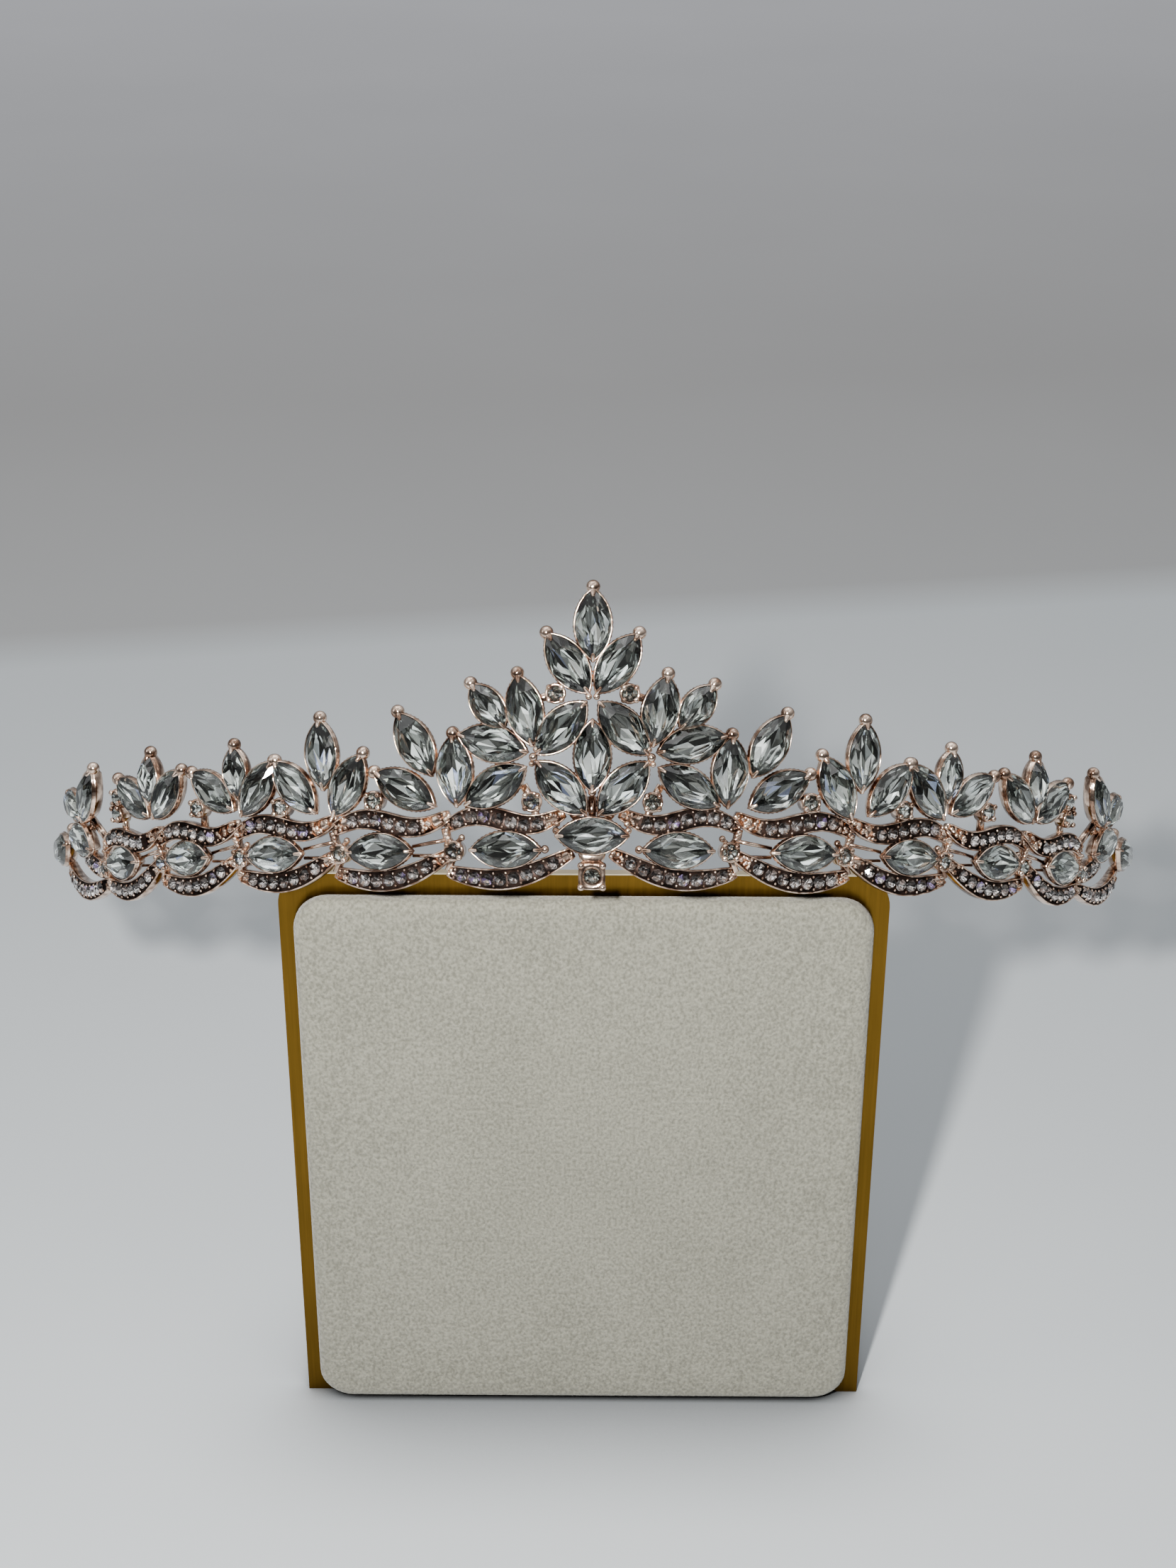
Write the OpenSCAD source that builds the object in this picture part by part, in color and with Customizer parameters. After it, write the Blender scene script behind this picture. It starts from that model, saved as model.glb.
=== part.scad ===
// Diadem of navette stones in a polished rose metal frame, on its plain display stand.
// Millimetres. +X is to the wearer's left, +Y is to the back and +Z is up.
// The origin is on the floor, at the middle of the whole box.

/* [Stones] */
// Length of a main navette stone
stone_l = 8; // [7.4:0.1:8.6]
// Width of a main navette stone
stone_w = 4; // [3.4:0.1:4.4]
// Length of a small navette stone
small_l = 6; // [5.4:0.1:6.4]
// Width of a small navette stone
small_w = 3.4; // [2.8:0.1:3.6]
// Length of a navette stone in the band's row
row_l = 8; // [7.2:0.1:8.4]
// Width of a navette stone in the band's row
row_w = 4; // [3.4:0.1:4.2]
// Height of a stone above its girdle
crown_h = 1.3; // [0.8:0.05:1.5]
// Depth of a stone below its girdle
pavilion_h = 0.9; // [0.5:0.05:1]
// Diameter of a round accent stone
round_d = 1.8; // [1.4:0.1:2.1]
// Diameter of a pave stone
pave_d = 1.4; // [1.1:0.05:1.5]
// Distance from one pave stone to the next
pave_pitch = 1.6; // [1.5:0.05:2]
// Air left between a stone and its setting
stone_gap = 0.1; // [0.06:0.01:0.14]

/* [Settings] */
// Thickness of a setting's wall
wall_t = 0.35; // [0.3:0.05:0.5]
// Thickness of the metal behind a stone
floor_t = 0.6; // [0.5:0.05:0.8]
// Height of a stone's girdle above the back of the metal
seat_h = 1.65; // [1.6:0.05:2]
// Height of a setting's wall above a stone's girdle
lip_h = 0.25; // [0.1:0.05:0.5]
// Diameter of the ball at the free tip of a setting
ball_d = 1.7; // [1.4:0.1:2]
// Diameter of the prong beads of the square setting
prong_d = 0.9; // [0.7:0.05:1.1]
// Width of the square setting below the middle
drop_w = 3.2; // [2.8:0.1:3.4]
// Height of the middle of the square setting
drop_h = 2.2; // [2:0.1:2.4]
// Width of the smooth bridge above the square setting
bridge_w = 3.3; // [2.8:0.1:3.6]
// Width of the wires that join the settings
wire_w = 1.1; // [0.9:0.1:1.5]

/* [Band] */
// Radius of the circle that the backs of the settings follow
band_r = 75; // [68:1:90]
// Angle at which the diadem flares outwards to its top
flare = 8; // [4:1:12]
// Arc from the middle to the first junction of the ribbons
first_arc = 17; // [16.4:0.1:17.6]
// Arc from one junction to the next
unit_arc = 14.75; // [14.4:0.05:15.2]
// Height of the middle of the lower ribbon at a junction
ribbon_foot_h = 3; // [2.8:0.1:3.4]
// Height of the middle of the row of band stones
row_h = 5.4; // [5.2:0.1:5.8]
// Depth of a scallop of the lower ribbon
scallop_h = 2.1; // [1.8:0.1:2.2]
// Height of the middle of the upper ribbon
upper_h = 8.8; // [8.6:0.1:9.2]
// Fall of the upper ribbon from its inner tip to its outer tip
upper_fall = 1.8; // [1.4:0.1:2]
// Height of the wave of the upper ribbon
wave_h = 0.95; // [0.8:0.05:1.1]
// Width of the pair of rails from a junction to the next stone of the row
rails_w = 1.6; // [1.3:0.1:1.8]
// Width of a pave ribbon at its widest
ribbon_w = 2.5; // [2.4:0.05:2.7]
// Width of a pave ribbon at its tips
ribbon_tip_w = 1.1; // [0.9:0.05:1.4]
// Width of the sloping edge along each side of a ribbon
rail_w = 0.2; // [0.1:0.05:0.4]
// Thickness of a ribbon at the seats of its stones
ribbon_t = 1.1; // [0.9:0.05:1.3]

/* [Stand] */
// Width of the upright plate
plate_w = 75.6; // [70:0.2:80]
// Height of the upright plate
plate_h = 82.3; // [76:0.1:83]
// Thickness of the sheet metal
sheet_t = 1; // [0.8:0.1:1.5]
// Radius of the plate's top corners
corner_r = 4.5; // [2:0.5:8]
// Depth of the foot behind the plate
foot_l = 46; // [44:1:60]
// Thickness of the suede pad
pad_t = 2.5; // [1.5:0.1:3.5]
// Plate left bare at each side of the pad
pad_side = 1.9; // [1:0.1:4]
// Plate left bare above the pad
pad_top = 2.9; // [1.5:0.1:6]
// Clearance under the pad
pad_foot = 0.6; // [0.4:0.1:4]
// Radius of the pad's corners
pad_corner_r = 4.4; // [2:0.2:8]
// Width of the pad's softened front edge
pad_edge_r = 1.2; // [0.5:0.1:1.4]

/* [Seat] */
// Distance from the plate's front to the diadem's back at its lowest front point
band_out = 9.9; // [9.6:0.1:12]
// Height of that point above the plate's top edge
band_rise = 3; // [2.7:0.1:7.7]
// How far the stand's middle lies to the wearer's right of the diadem's middle
beside = 1; // [0:0.1:3]
// Angle at which the diadem lies back
tilt = 32.7; // [28:0.1:34]
// Width of the strip that holds the diadem
rest_w = 2.6; // [2:0.1:3]
// Thickness of that strip
rest_t = 1; // [0.8:0.1:1.2]
// Height of the diadem that the strip lies against
rest_l = 5; // [3:0.1:6]
// Length of strip fastened behind the plate
rest_tail = 14; // [8:1:30]
// Air left between two pieces that touch
contact_gap = 0.06; // [0.02:0.01:0.1]

/* [Hidden] */
deg = 180 / PI;
face_r = band_r + seat_h + crown_h / 2;
wall_h = seat_h + lip_h;
round_crown = crown_h * 0.4;
round_depth = pavilion_h * 0.7;
stone_sides = 8;
round_sides = 6;
table_share = 0.6;
pave_depth = 0.25;
junctions = 5;
ribbon_stations = 6;
first_pave = 8;
unit_pave = 7;
above = 6;
wire_back = 0.08;
ribbon_back = 0.16;
prong_in = 0.3;

// Shares of a main stone's length: the row's stones behind their junctions, the middle one above
// the row, and the junctions' round stones behind them.
first_row_back = 0.85;
row_back = 0.74;
middle_rise = 0.2;
round_back = 0.06;
// What the row's stones, the junctions' round stones and the ribbons lose in height with each
// junction, and from which unit the lower ribbons do.
row_drop = 0.07;
round_drop = 0.18;
upper_drop = 0.22;
lower_drop = 0.2;
drop_from = 3;
// Share of the full depth that the scallop beside the middle has.
first_scallop = 0.95;
// How far the ribbons' ends lie from a junction, from the row's height and from the foot's height.
lower_past = 0.5;
lower_tuck = 0.4;
foot_tuck = 0.2;
upper_before = 0.1;
upper_past = 0.7;
rising_fall = 1.6;
rising_lift = 1;
end_before = 0.3;
end_tuck = 0.4;
end_lift = 0.4;
rails_past = 0.1;
rails_tuck = 0.4;
bridge_tuck = 0.2;
bridge_lap = 0.1;

// The middle of the box is the origin: the square setting's prongs are foremost, the foot rearmost.
lie = tilt - flare;
band_up = plate_h + band_rise;
front_y = -band_out - (wall_h + prong_d / 2) * cos(lie) + (drop_h - drop_w / 2 + prong_in) * sin(lie);
shift_y = -(foot_l + front_y) / 2;

// Crest of the right half, mirrored to the left. Arc and height are in lengths of a main stone,
// lean is in degrees from upright, and ball tells whether the outer tip ends in a ball.
CREST_S = 0;
CREST_H = 1;
CREST_LEAN = 2;
CREST_SMALL = 3;
CREST_BALL = 4;
CREST = [
    // s     h      lean  small  ball
    [0,     3.98,    0,  false, true],
    [0,     2.05,    0,  false, false],
    [0.35,  3.41,   35,  false, true],
    [0.45,  2.46,  136,  false, false],
    [0.45,  1.58,   43,  false, false],
    [0.97,  2.73,   11,  false, true],
    [1.50,  2.79,   37,  true,  true],
    [1.44,  2.24,   76,  false, false],
    [1.41,  1.61,  121,  false, false],
    [2.01,  1.85,    2,  false, true],
    [2.60,  2.25,   28,  false, true],
    [2.78,  1.58,   61,  false, true],
    [9.84,  1.79,  -38,  false, true],
    [10.53, 1.68,   50,  true,  false],
];

// Leaf trios: place beside the junction, then height, lean and size of the middle leaf and the
// lean of the two others. Lengths are in lengths of a main stone.
TRIO_DS = 0;
TRIO_H = 1;
TRIO_LEAN = 2;
TRIO_SMALL = 3;
TRIO_IN = 4;
TRIO_OUT = 5;
TRIOS = [
    // ds     h     lean  small   in   out
    [ 0.14,  2.14,    0,  false,  -30,  41],
    [-0.11,  1.93,    0,  true,   -41,  55],
    [ 0.03,  1.93,  -10,  true,   -48,  53],
];
first_trio = 2;
trio_in_s = -0.41;
trio_out_s = 0.50;
trio_side_h = 1.66;

// Round accent stones above the band, in lengths of a main stone.
ACCENTS = [
    [0.53, 2.97], [0.885, 1.375], [3.30, 1.415], [4.91, 1.36], [6.60, 1.41], [8.80, 1.43], [8.75, 1.69],
];
// Wires between the settings: from arc and height to arc and height, in lengths of a main stone.
WIRES = [
    [0, 1.45, 0, 1.05], [0.12, 1.28, 0.30, 1.12], [0.885, 1.375, 0.80, 1.02],
    [0.885, 1.375, 1.02, 1.62], [0.53, 2.97, 0.42, 3.20], [0.53, 2.97, 0.90, 2.85],
    [1.85, 1.32, 1.85, 1.10], [3.30, 1.415, 3.34, 1.12], [3.30, 1.415, 3.10, 1.55],
    [4.91, 1.36, 4.91, 1.10], [4.91, 1.36, 4.70, 1.58], [6.60, 1.41, 6.60, 1.12],
    [6.60, 1.41, 6.35, 1.60], [8.80, 1.43, 8.80, 1.12], [8.78, 1.43, 8.60, 1.88],
    [10.13, 1.42, 10.22, 1.20], [10.12, 1.40, 9.60, 1.06], [10.95, 1.27, 11.35, 1.04],
];
// Stones past the last junction: arc and height in lengths of a main stone, lean, and whether
// the outer tip ends in a ball.
ENDS = [[10.36, 1.09, 68, true], [11.80, 1.00, 97, false]];

RIGHT = [for (row = CREST) if (row[CREST_S] > 0) row];
MIDDLE = [for (row = CREST) if (row[CREST_S] == 0) row];
crest_count = len(MIDDLE) + 2 * len(RIGHT);
row_count = 2 * (junctions + len(ENDS)) + 1;
trio_count = 2 * len(TRIOS);

// Places

function stone_size(small) = small ? [small_l, small_w] : [stone_l, stone_w];
// A stone's place is its arc, height, lean, size and whether its outer tip ends in a ball.
function crest_place(row, side) = [side * row[CREST_S] * stone_l, row[CREST_H] * stone_l,
    side * row[CREST_LEAN], stone_size(row[CREST_SMALL]), row[CREST_BALL]];
crest_places = concat(
    [for (row = MIDDLE) crest_place(row, 1)],
    [for (row = RIGHT) for (side = [-1, 1]) crest_place(row, side)]
);

function junction_s(i) = i == 0 ? 0 : first_arc + (i - 1) * unit_arc;
function row_s(i) =
    i == 0 ? 0 :
    i == 1 ? first_arc - first_row_back * stone_l :
    i <= junctions ? junction_s(i) - row_back * stone_l :
    ENDS[i - junctions - 1][0] * stone_l;
function row_y(i) =
    i == 0 ? row_h + middle_rise * stone_l :
    i <= junctions ? row_h - row_drop * i :
    ENDS[i - junctions - 1][1] * stone_l;
function row_lean(i) = i <= junctions ? 90 : ENDS[i - junctions - 1][2];
function row_ball(i) = i > junctions && ENDS[i - junctions - 1][3];
function row_place(i, side) =
    [side * row_s(i), row_y(i), side * row_lean(i), [row_l, row_w], row_ball(i)];
row_places = concat(
    [row_place(0, 1)],
    [for (i = [1:junctions + len(ENDS)]) for (side = [-1, 1]) row_place(i, side)]
);

function trio_places(i, side) =
    let (
        row = TRIOS[i],
        s = junction_s(i + first_trio) + row[TRIO_DS] * stone_l,
        h = trio_side_h * stone_l,
        large = stone_size(false)
    )
    [
        [side * s, row[TRIO_H] * stone_l, side * row[TRIO_LEAN], stone_size(row[TRIO_SMALL]), true],
        [side * (s + trio_in_s * stone_l), h, side * row[TRIO_IN], large, true],
        [side * (s + trio_out_s * stone_l), h, side * row[TRIO_OUT], large, true],
    ];
trios = [for (i = [0:len(TRIOS) - 1]) for (side = [-1, 1]) trio_places(i, side)];
places = concat(crest_places, row_places, [for (trio = trios) each trio]);

function junction_round(i, side) = [side * (junction_s(i) - round_back * stone_l), row_h - round_drop * i];
function accent_places(side) = concat(
    [for (p = ACCENTS) [side * p[0] * stone_l, p[1] * stone_l]],
    [for (i = [1:junctions]) junction_round(i, side)]
);

// The ribbons. A path is a function of u, from 0 at its inner tip to 1 at its outer tip.

function lower_path(i, u) =
    let (
        s0 = i == 1 ? 0.28 * stone_l : junction_s(i - 1),
        s1 = junction_s(i) + lower_past,
        h0 = row_h - lower_tuck,
        h1 = ribbon_foot_h - foot_tuck,
        depth = i == 1 ? scallop_h * first_scallop : scallop_h + lower_drop * max(0, i - drop_from)
    )
    [s0 + (s1 - s0) * u, h0 + (h1 - h0) * u - depth * sin(180 * u)];
function upper_path(i, u) =
    let (
        s0 = i == 1 ? 0.41 * stone_l : junction_s(i - 1) + upper_before,
        s1 = junction_s(i) + upper_past
    )
    [
        s0 + (s1 - s0) * u,
        upper_h - upper_drop * (i - 1) + upper_fall * (0.5 - u) - wave_h * sin(360 * u)
    ];
function rising_path(u) =
    let (
        s0 = junction_s(junctions),
        s1 = s0 + 0.95 * stone_l,
        h0 = row_h - rising_fall,
        h1 = row_h + rising_lift
    )
    [s0 + (s1 - s0) * u, h0 + (h1 - h0) * u];
function end_path(u) =
    let (
        s0 = junction_s(junctions) - end_before,
        s1 = s0 + 2.45 * stone_l,
        h0 = ribbon_foot_h - end_tuck,
        h1 = row_h + end_lift
    )
    [s0 + (s1 - s0) * u, h0 + (h1 - h0) * u * u - 0.7 * scallop_h * sin(180 * u)];
function ribbon_width(u) = ribbon_tip_w + (ribbon_w - ribbon_tip_w) * pow(sin(180 * u), 0.6);

LOWER = 0;
UPPER = 1;
RISING = 2;
END = 3;
function path(kind, i, u) =
    kind == LOWER ? lower_path(i, u) :
    kind == UPPER ? upper_path(i, u) :
    kind == RISING ? rising_path(u) : end_path(u);
function heading(kind, i, u) =
    let (a = path(kind, i, max(0, u - 0.02)), b = path(kind, i, min(1, u + 0.02)), d = b - a)
    d / norm(d);

// A point of the metal: arc, height and distance out from the back, on the flared band.
function band_point(s, h, out) =
    let (r = band_r + h * sin(flare) + out * cos(flare), a = s / face_r * deg)
    [r * sin(a), band_r - r * cos(a), h * cos(flare) - out * sin(flare)];

module on_band(s, h, lean = 0, out = 0) {
    translate([0, band_r, 0])
        rotate([0, 0, s / face_r * deg])
            translate([0, -band_r, 0])
                rotate([90 + flare, 0, 0])
                    translate([0, h, out])
                        rotate([0, 0, -lean])
                            children();
}

module on_seat() {
    translate([0, shift_y - band_out, band_up])
        rotate([-tilt, 0, 0])
            children();
}

// Stones

function navette(l, w, sides) =
    let (
        a = l / 2,
        b = w / 2,
        r = (a * a + b * b) / (2 * b),
        half = asin(a / r),
        n = sides / 2
    )
    [
        for (k = [0:n - 1]) [r * cos(half * (2 * k / n - 1)) - r + b, r * sin(half * (2 * k / n - 1))],
        for (k = [0:n - 1]) [r - b - r * cos(half * (1 - 2 * k / n)), r * sin(half * (1 - 2 * k / n))],
    ];
function ring(d, sides) = [for (k = [0:sides - 1]) d / 2 * [cos(360 * k / sides), sin(360 * k / sides)]];
function lifted(points, z) = [for (p = points) [p[0], p[1], z]];

// A cut stone: a table, a row of crown facets, the girdle and a pointed pavilion.
module cut(outline, crown, pavilion) {
    n = len(outline);
    points = concat(
        lifted(outline * table_share, crown),
        lifted(outline, 0),
        [[0, 0, -pavilion]]
    );
    table = [for (k = [n - 1:-1:0]) k];
    crown_faces = [for (k = [0:n - 1]) [k, (k + 1) % n, n + (k + 1) % n, n + k]];
    pavilion_faces = [for (k = [0:n - 1]) [n + k, n + (k + 1) % n, 2 * n]];
    polyhedron(points = points, faces = concat([table], crown_faces, pavilion_faces), convexity = 2);
}

module round_stone() {
    cut(ring(round_d, round_sides), round_crown, round_depth);
}

module pave_stone() {
    cut(ring(pave_d, round_sides), pave_d * 0.25, pave_d * pave_depth);
}

module navette_stone(place) {
    on_seat()
        on_band(place[0], place[1], place[2], seat_h)
            cut(navette(place[3][0], place[3][1], stone_sides), crown_h, pavilion_h);
}

module crest_stone(i) {
    color("lightcyan")
        navette_stone(crest_places[i - 1]);
}

module row_stone(i) {
    color("lightcyan")
        navette_stone(row_places[i - 1]);
}

module trio_stones(i) {
    color("lightcyan")
        for (place = trios[i - 1])
            navette_stone(place);
}

module accent_stones(side) {
    color("lightcyan")
        on_seat()
            union() {
                for (p = accent_places(side))
                    on_band(p[0], p[1], 0, seat_h)
                        round_stone();
                if (side > 0)
                    on_band(0, drop_h, 0, seat_h)
                        round_stone();
            }
}

// The pave stones of one lower ribbon, spaced along it and centred on its wide stretch.
module pave_run(i, count, side) {
    a = path(LOWER, i, 0);
    b = path(LOWER, i, 1);
    step = pave_pitch / norm(b - a);
    for (k = [0:count - 1]) {
        u = 0.52 + (k - (count - 1) / 2) * step;
        p = path(LOWER, i, u);
        on_band(side * p[0], p[1], 0, ribbon_t + stone_gap + pave_d * pave_depth)
            pave_stone();
    }
}

module pave_stones(side) {
    color("lavender")
        on_seat()
            union() {
                for (i = [1:junctions])
                    pave_run(i, i == 1 ? first_pave : unit_pave, side);
            }
}

// Metal

module setting_body(size) {
    grow = 2 * (stone_gap + wall_t);
    linear_extrude(wall_h)
        polygon(navette(size[0] + grow, size[1] + grow, stone_sides));
}

module pocket(size) {
    grow = 2 * stone_gap;
    translate([0, 0, floor_t])
        linear_extrude(above)
            polygon(navette(size[0] + grow, size[1] + grow, stone_sides));
}

module tip_ball(l) {
    translate([0, l / 2 + stone_gap + wall_t, wall_h - ball_d * 0.6])
        hull() {
            cylinder(d1 = ball_d * 0.5, d2 = ball_d, h = ball_d * 0.5, $fn = 6);
            translate([0, 0, ball_d * 0.5])
                cylinder(d1 = ball_d, d2 = ball_d * 0.5, h = ball_d * 0.4, $fn = 6);
        }
}

// The post under a round accent stone.
module accent_post() {
    cylinder(d = round_d + 2 * wall_t, h = seat_h - stone_gap - round_depth, $fn = round_sides);
}

module round_pocket(d) {
    translate([0, 0, floor_t])
        cylinder(d = d + 2 * stone_gap, h = above, $fn = round_sides);
}

// A ribbon: a bar with sloping edges, swept along its path. Its stones sit on its face.
module ribbon(kind, i, side) {
    n = ribbon_stations;
    function station(u) =
        let (p = path(kind, i, u), t = heading(kind, i, u), e = [-t[1], t[0]], w = ribbon_width(u) / 2)
        [
            for (q = [[-w, ribbon_back], [w, ribbon_back], [w - rail_w, ribbon_t], [rail_w - w, ribbon_t]])
                band_point(side * (p[0] + q[0] * e[0]), p[1] + q[0] * e[1], q[1])
        ];
    m = 4;
    points = [for (k = [0:n]) each station(k / n)];
    walls = [
        for (k = [0:n - 1]) for (j = [0:m - 1])
            let (a = k * m + j, b = k * m + (j + 1) % m, c = b + m, d = a + m)
            [a, b, c, d]
    ];
    caps = [[for (j = [m - 1:-1:0]) j], [for (j = [0:m - 1]) n * m + j]];
    faces = concat(walls, caps);
    turned = side > 0 ? [for (f = faces) [for (k = [len(f) - 1:-1:0]) f[k]]] : faces;
    polyhedron(points = points, faces = turned, convexity = 6);
}

// A flat wire of the metal between two places, given as arc and height.
module wire(a, b, w = wire_w, t = floor_t - 2 * wire_back) {
    mid = (a + b) / 2;
    run = b - a;
    on_band(mid[0], mid[1], atan2(run[0], run[1]), wire_back)
        translate([-w / 2, -norm(run) / 2, 0])
            cube([w, norm(run), t]);
}

// The pair of thin rails from a junction to the next stone of the row, with a slot between them.
module twin_rails(i, side) {
    from = junction_s(i) + rails_past;
    to = row_s(i + 1) - row_l / 2 - stone_gap - wall_t + rails_tuck;
    for (h = [-rails_w / 2, rails_w / 2])
        wire([side * from, row_y(i + 1) + h], [side * to, row_y(i + 1) + h * 0.8], rails_w * 0.4, ribbon_t);
}

module centre_drop() {
    on_band(0, drop_h)
        translate([-drop_w / 2, -drop_w / 2, 0])
            cube([drop_w, drop_w, wall_h]);
    for (x = [-1, 1]) for (y = [-1, 1])
        on_band(x * (drop_w / 2 - prong_in), drop_h + y * (drop_w / 2 - prong_in), 0, wall_h)
            cylinder(d1 = prong_d, d2 = prong_d / 2, h = prong_d / 2, $fn = 6);
    on_band(0, drop_h + drop_w / 2)
        translate([-bridge_w / 2, -bridge_tuck, 0])
            cube([bridge_w, row_y(0) - row_w / 2 - drop_h - drop_w / 2 + bridge_tuck + bridge_lap, ribbon_t]);
}

module settings() {
    for (place = places)
        on_band(place[0], place[1], place[2]) {
            setting_body(place[3]);
            if (place[4])
                tip_ball(place[3][0]);
        }
    for (side = [-1, 1]) for (p = accent_places(side))
        on_band(p[0], p[1])
            accent_post();
}

module pockets() {
    for (place = places)
        on_band(place[0], place[1], place[2])
            pocket(place[3]);
    on_band(0, drop_h)
        round_pocket(round_d);
}

module links() {
    for (side = [-1, 1]) {
        for (w = WIRES)
            wire([side * w[0] * stone_l, w[1] * stone_l], [side * w[2] * stone_l, w[3] * stone_l]);
        for (i = [1:junctions - 1])
            twin_rails(i, side);
        for (i = [1:junctions]) {
            foot = path(LOWER, i, 1);
            top = path(UPPER, i, 1);
            wire([side * foot[0], foot[1]], junction_round(i, side));
            wire(junction_round(i, side), [side * top[0], top[1]]);
        }
    }
}

module ribbons() {
    for (side = [-1, 1]) {
        for (i = [1:junctions]) {
            ribbon(LOWER, i, side);
            ribbon(UPPER, i, side);
        }
        ribbon(RISING, 0, side);
        ribbon(END, 0, side);
    }
}

module diadem_frame() {
    color("rosybrown")
        on_seat()
            difference() {
                union() {
                    ribbons();
                    settings();
                    links();
                    centre_drop();
                }
                pockets();
            }
}

// Stand

module rounded_front(w, h, r, t) {
    rotate([90, 0, 0])
        linear_extrude(t)
            difference() {
                translate([-w / 2, 0])
                    square([w, h]);
                for (x = [-1, 1])
                    translate([x * (w / 2 - r), h - r])
                        difference() {
                            translate([x > 0 ? 0 : -r, 0])
                                square([r, r]);
                            circle(r);
                        }
            }
}

module stand_plate() {
    color("goldenrod")
        translate([-beside, shift_y, 0])
            union() {
                translate([0, sheet_t, 0])
                    rounded_front(plate_w, plate_h, corner_r, sheet_t);
                translate([-plate_w / 2, 0, 0])
                    cube([plate_w, foot_l, sheet_t]);
            }
}

module pad_outline(inset) {
    r = pad_corner_r;
    w = plate_w - 2 * pad_side - 2 * inset;
    h = plate_h - pad_top - pad_foot - 2 * inset;
    translate([0, inset])
        for (x = [-1, 1]) for (y = [r, h - r])
            translate([x * (w / 2 - r), y])
                circle(r, $fn = 24);
}

module stand_pad() {
    color("ivory")
        translate([-beside, shift_y - contact_gap, pad_foot])
            rotate([90, 0, 0])
                hull() {
                    linear_extrude(pad_t - pad_edge_r)
                        pad_outline(0);
                    linear_extrude(pad_t)
                        pad_outline(pad_edge_r);
                }
}

// The plain strip that holds the diadem: behind the plate, over its top edge and up the back.
module stand_strip() {
    back = [-band_out + sin(lie) * drop_h * 0.5, band_up + cos(lie) * drop_h * 0.5];
    inward = [cos(lie), -sin(lie)];
    foot = back + inward * (contact_gap + rest_t / 2);
    head = foot + [sin(lie), cos(lie)] * rest_l;
    neck = [sheet_t + contact_gap + rest_t / 2, plate_h + contact_gap + rest_t / 2];
    tail = [neck[0], plate_h - rest_tail];
    line = [head, foot, neck, tail];
    color("goldenrod")
        translate([-rest_w / 2, shift_y, 0])
            rotate([90, 0, 90])
                linear_extrude(rest_w)
                    union() {
                        for (k = [0:2]) {
                            d = line[k + 1] - line[k];
                            translate(line[k])
                                rotate(atan2(d[1], d[0]))
                                    translate([0, -rest_t / 2])
                                        square([norm(d), rest_t]);
                        }
                        for (k = [1, 2])
                            translate(line[k])
                                circle(d = rest_t, $fn = 24);
                    }
}

diadem_frame();
stand_plate();
stand_pad();
stand_strip();
for (i = [1:crest_count]) crest_stone(i);
for (i = [1:row_count]) row_stone(i);
for (i = [1:trio_count]) trio_stones(i);
accent_stones(-1);  // accent_stones_left
accent_stones(1);  // accent_stones_right
pave_stones(-1);  // pave_stones_left
pave_stones(1);  // pave_stones_right
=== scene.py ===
# Diadem of navette stones in a polished rose metal frame, on its plain display stand.
# Lengths are in millimetres until a mesh is made, and the frame is the CAD model's own.

import math
import random

import bmesh
import bpy
from mathutils import Matrix, Vector


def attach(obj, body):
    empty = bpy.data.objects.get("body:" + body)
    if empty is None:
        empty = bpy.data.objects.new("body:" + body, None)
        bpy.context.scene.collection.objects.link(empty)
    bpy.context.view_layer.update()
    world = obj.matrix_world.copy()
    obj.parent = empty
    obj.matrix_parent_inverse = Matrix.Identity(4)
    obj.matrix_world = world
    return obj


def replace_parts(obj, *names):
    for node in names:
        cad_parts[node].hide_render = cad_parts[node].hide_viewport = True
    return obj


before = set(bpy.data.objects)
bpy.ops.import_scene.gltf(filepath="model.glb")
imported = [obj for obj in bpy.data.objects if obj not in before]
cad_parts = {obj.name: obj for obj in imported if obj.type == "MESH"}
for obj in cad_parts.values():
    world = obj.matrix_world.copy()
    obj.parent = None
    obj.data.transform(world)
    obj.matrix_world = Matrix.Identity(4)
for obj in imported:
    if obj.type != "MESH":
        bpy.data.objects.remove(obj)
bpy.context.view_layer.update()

MM = 0.001

# Navette stones: length and width of each kind, then the heights and shares of the cut
STONE = (8.0, 4.0)
SMALL = (6.0, 3.4)
ROW = (8.0, 4.0)
CROWN = 0.95
PAVILION = 1.2
TABLE = 0.62
GIRDLE = 0.1
# How far a navette stone reaches over the inside of its setting
STONE_OVER = 0.13

# Round stones between the settings, and the smaller pave stones of the ribbons
ROUND_D = 1.8
ROUND_CROWN = 0.52
ROUND_DEPTH = 0.63
ROUND_SIDES = 12
ROUND_TABLE = 0.6
ROUND_GIRDLE = 0.05
PAVE_D = 1.4
PAVE_GROW = 0.14
PAVE_CROWN = 0.38
PAVE_DEPTH = 0.5
PAVE_SIDES = 8
PAVE_PITCH = 1.6

# Heights of the girdles: round stones, pave stones and navette stones, which stand prouder
SEAT_H = 1.65
PAVE_H = 1.5
NAVETTE_H = 1.98

# Settings: wall of a round stone's collar, balls at the free tips, the square setting
WALL = 0.35
BALL_D = 1.7
BALL_OUT = 0.42
DROP_W = 3.2
DROP_H = 2.2

# The band: radius of its back, radius on which arcs are measured, and how it flares
BAND_R = 75.0
FACE_R = 77.3
FLARE = math.radians(8)

# Junctions on each side of the middle, with the arc to the first and from each to the next
JUNCTIONS = 5
FIRST_ARC = 17.0
UNIT_ARC = 14.75

# The row: its height, how it drops with each junction, and how far a stone is before its junction
ROW_H = 5.4
ROW_DROP = 0.07
MIDDLE_ROW_H = 7.0
FIRST_ROW_BACK = 6.8
ROW_BACK = 5.92
ROUND_BACK = 0.48
ROUND_DROP = 0.18

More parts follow.
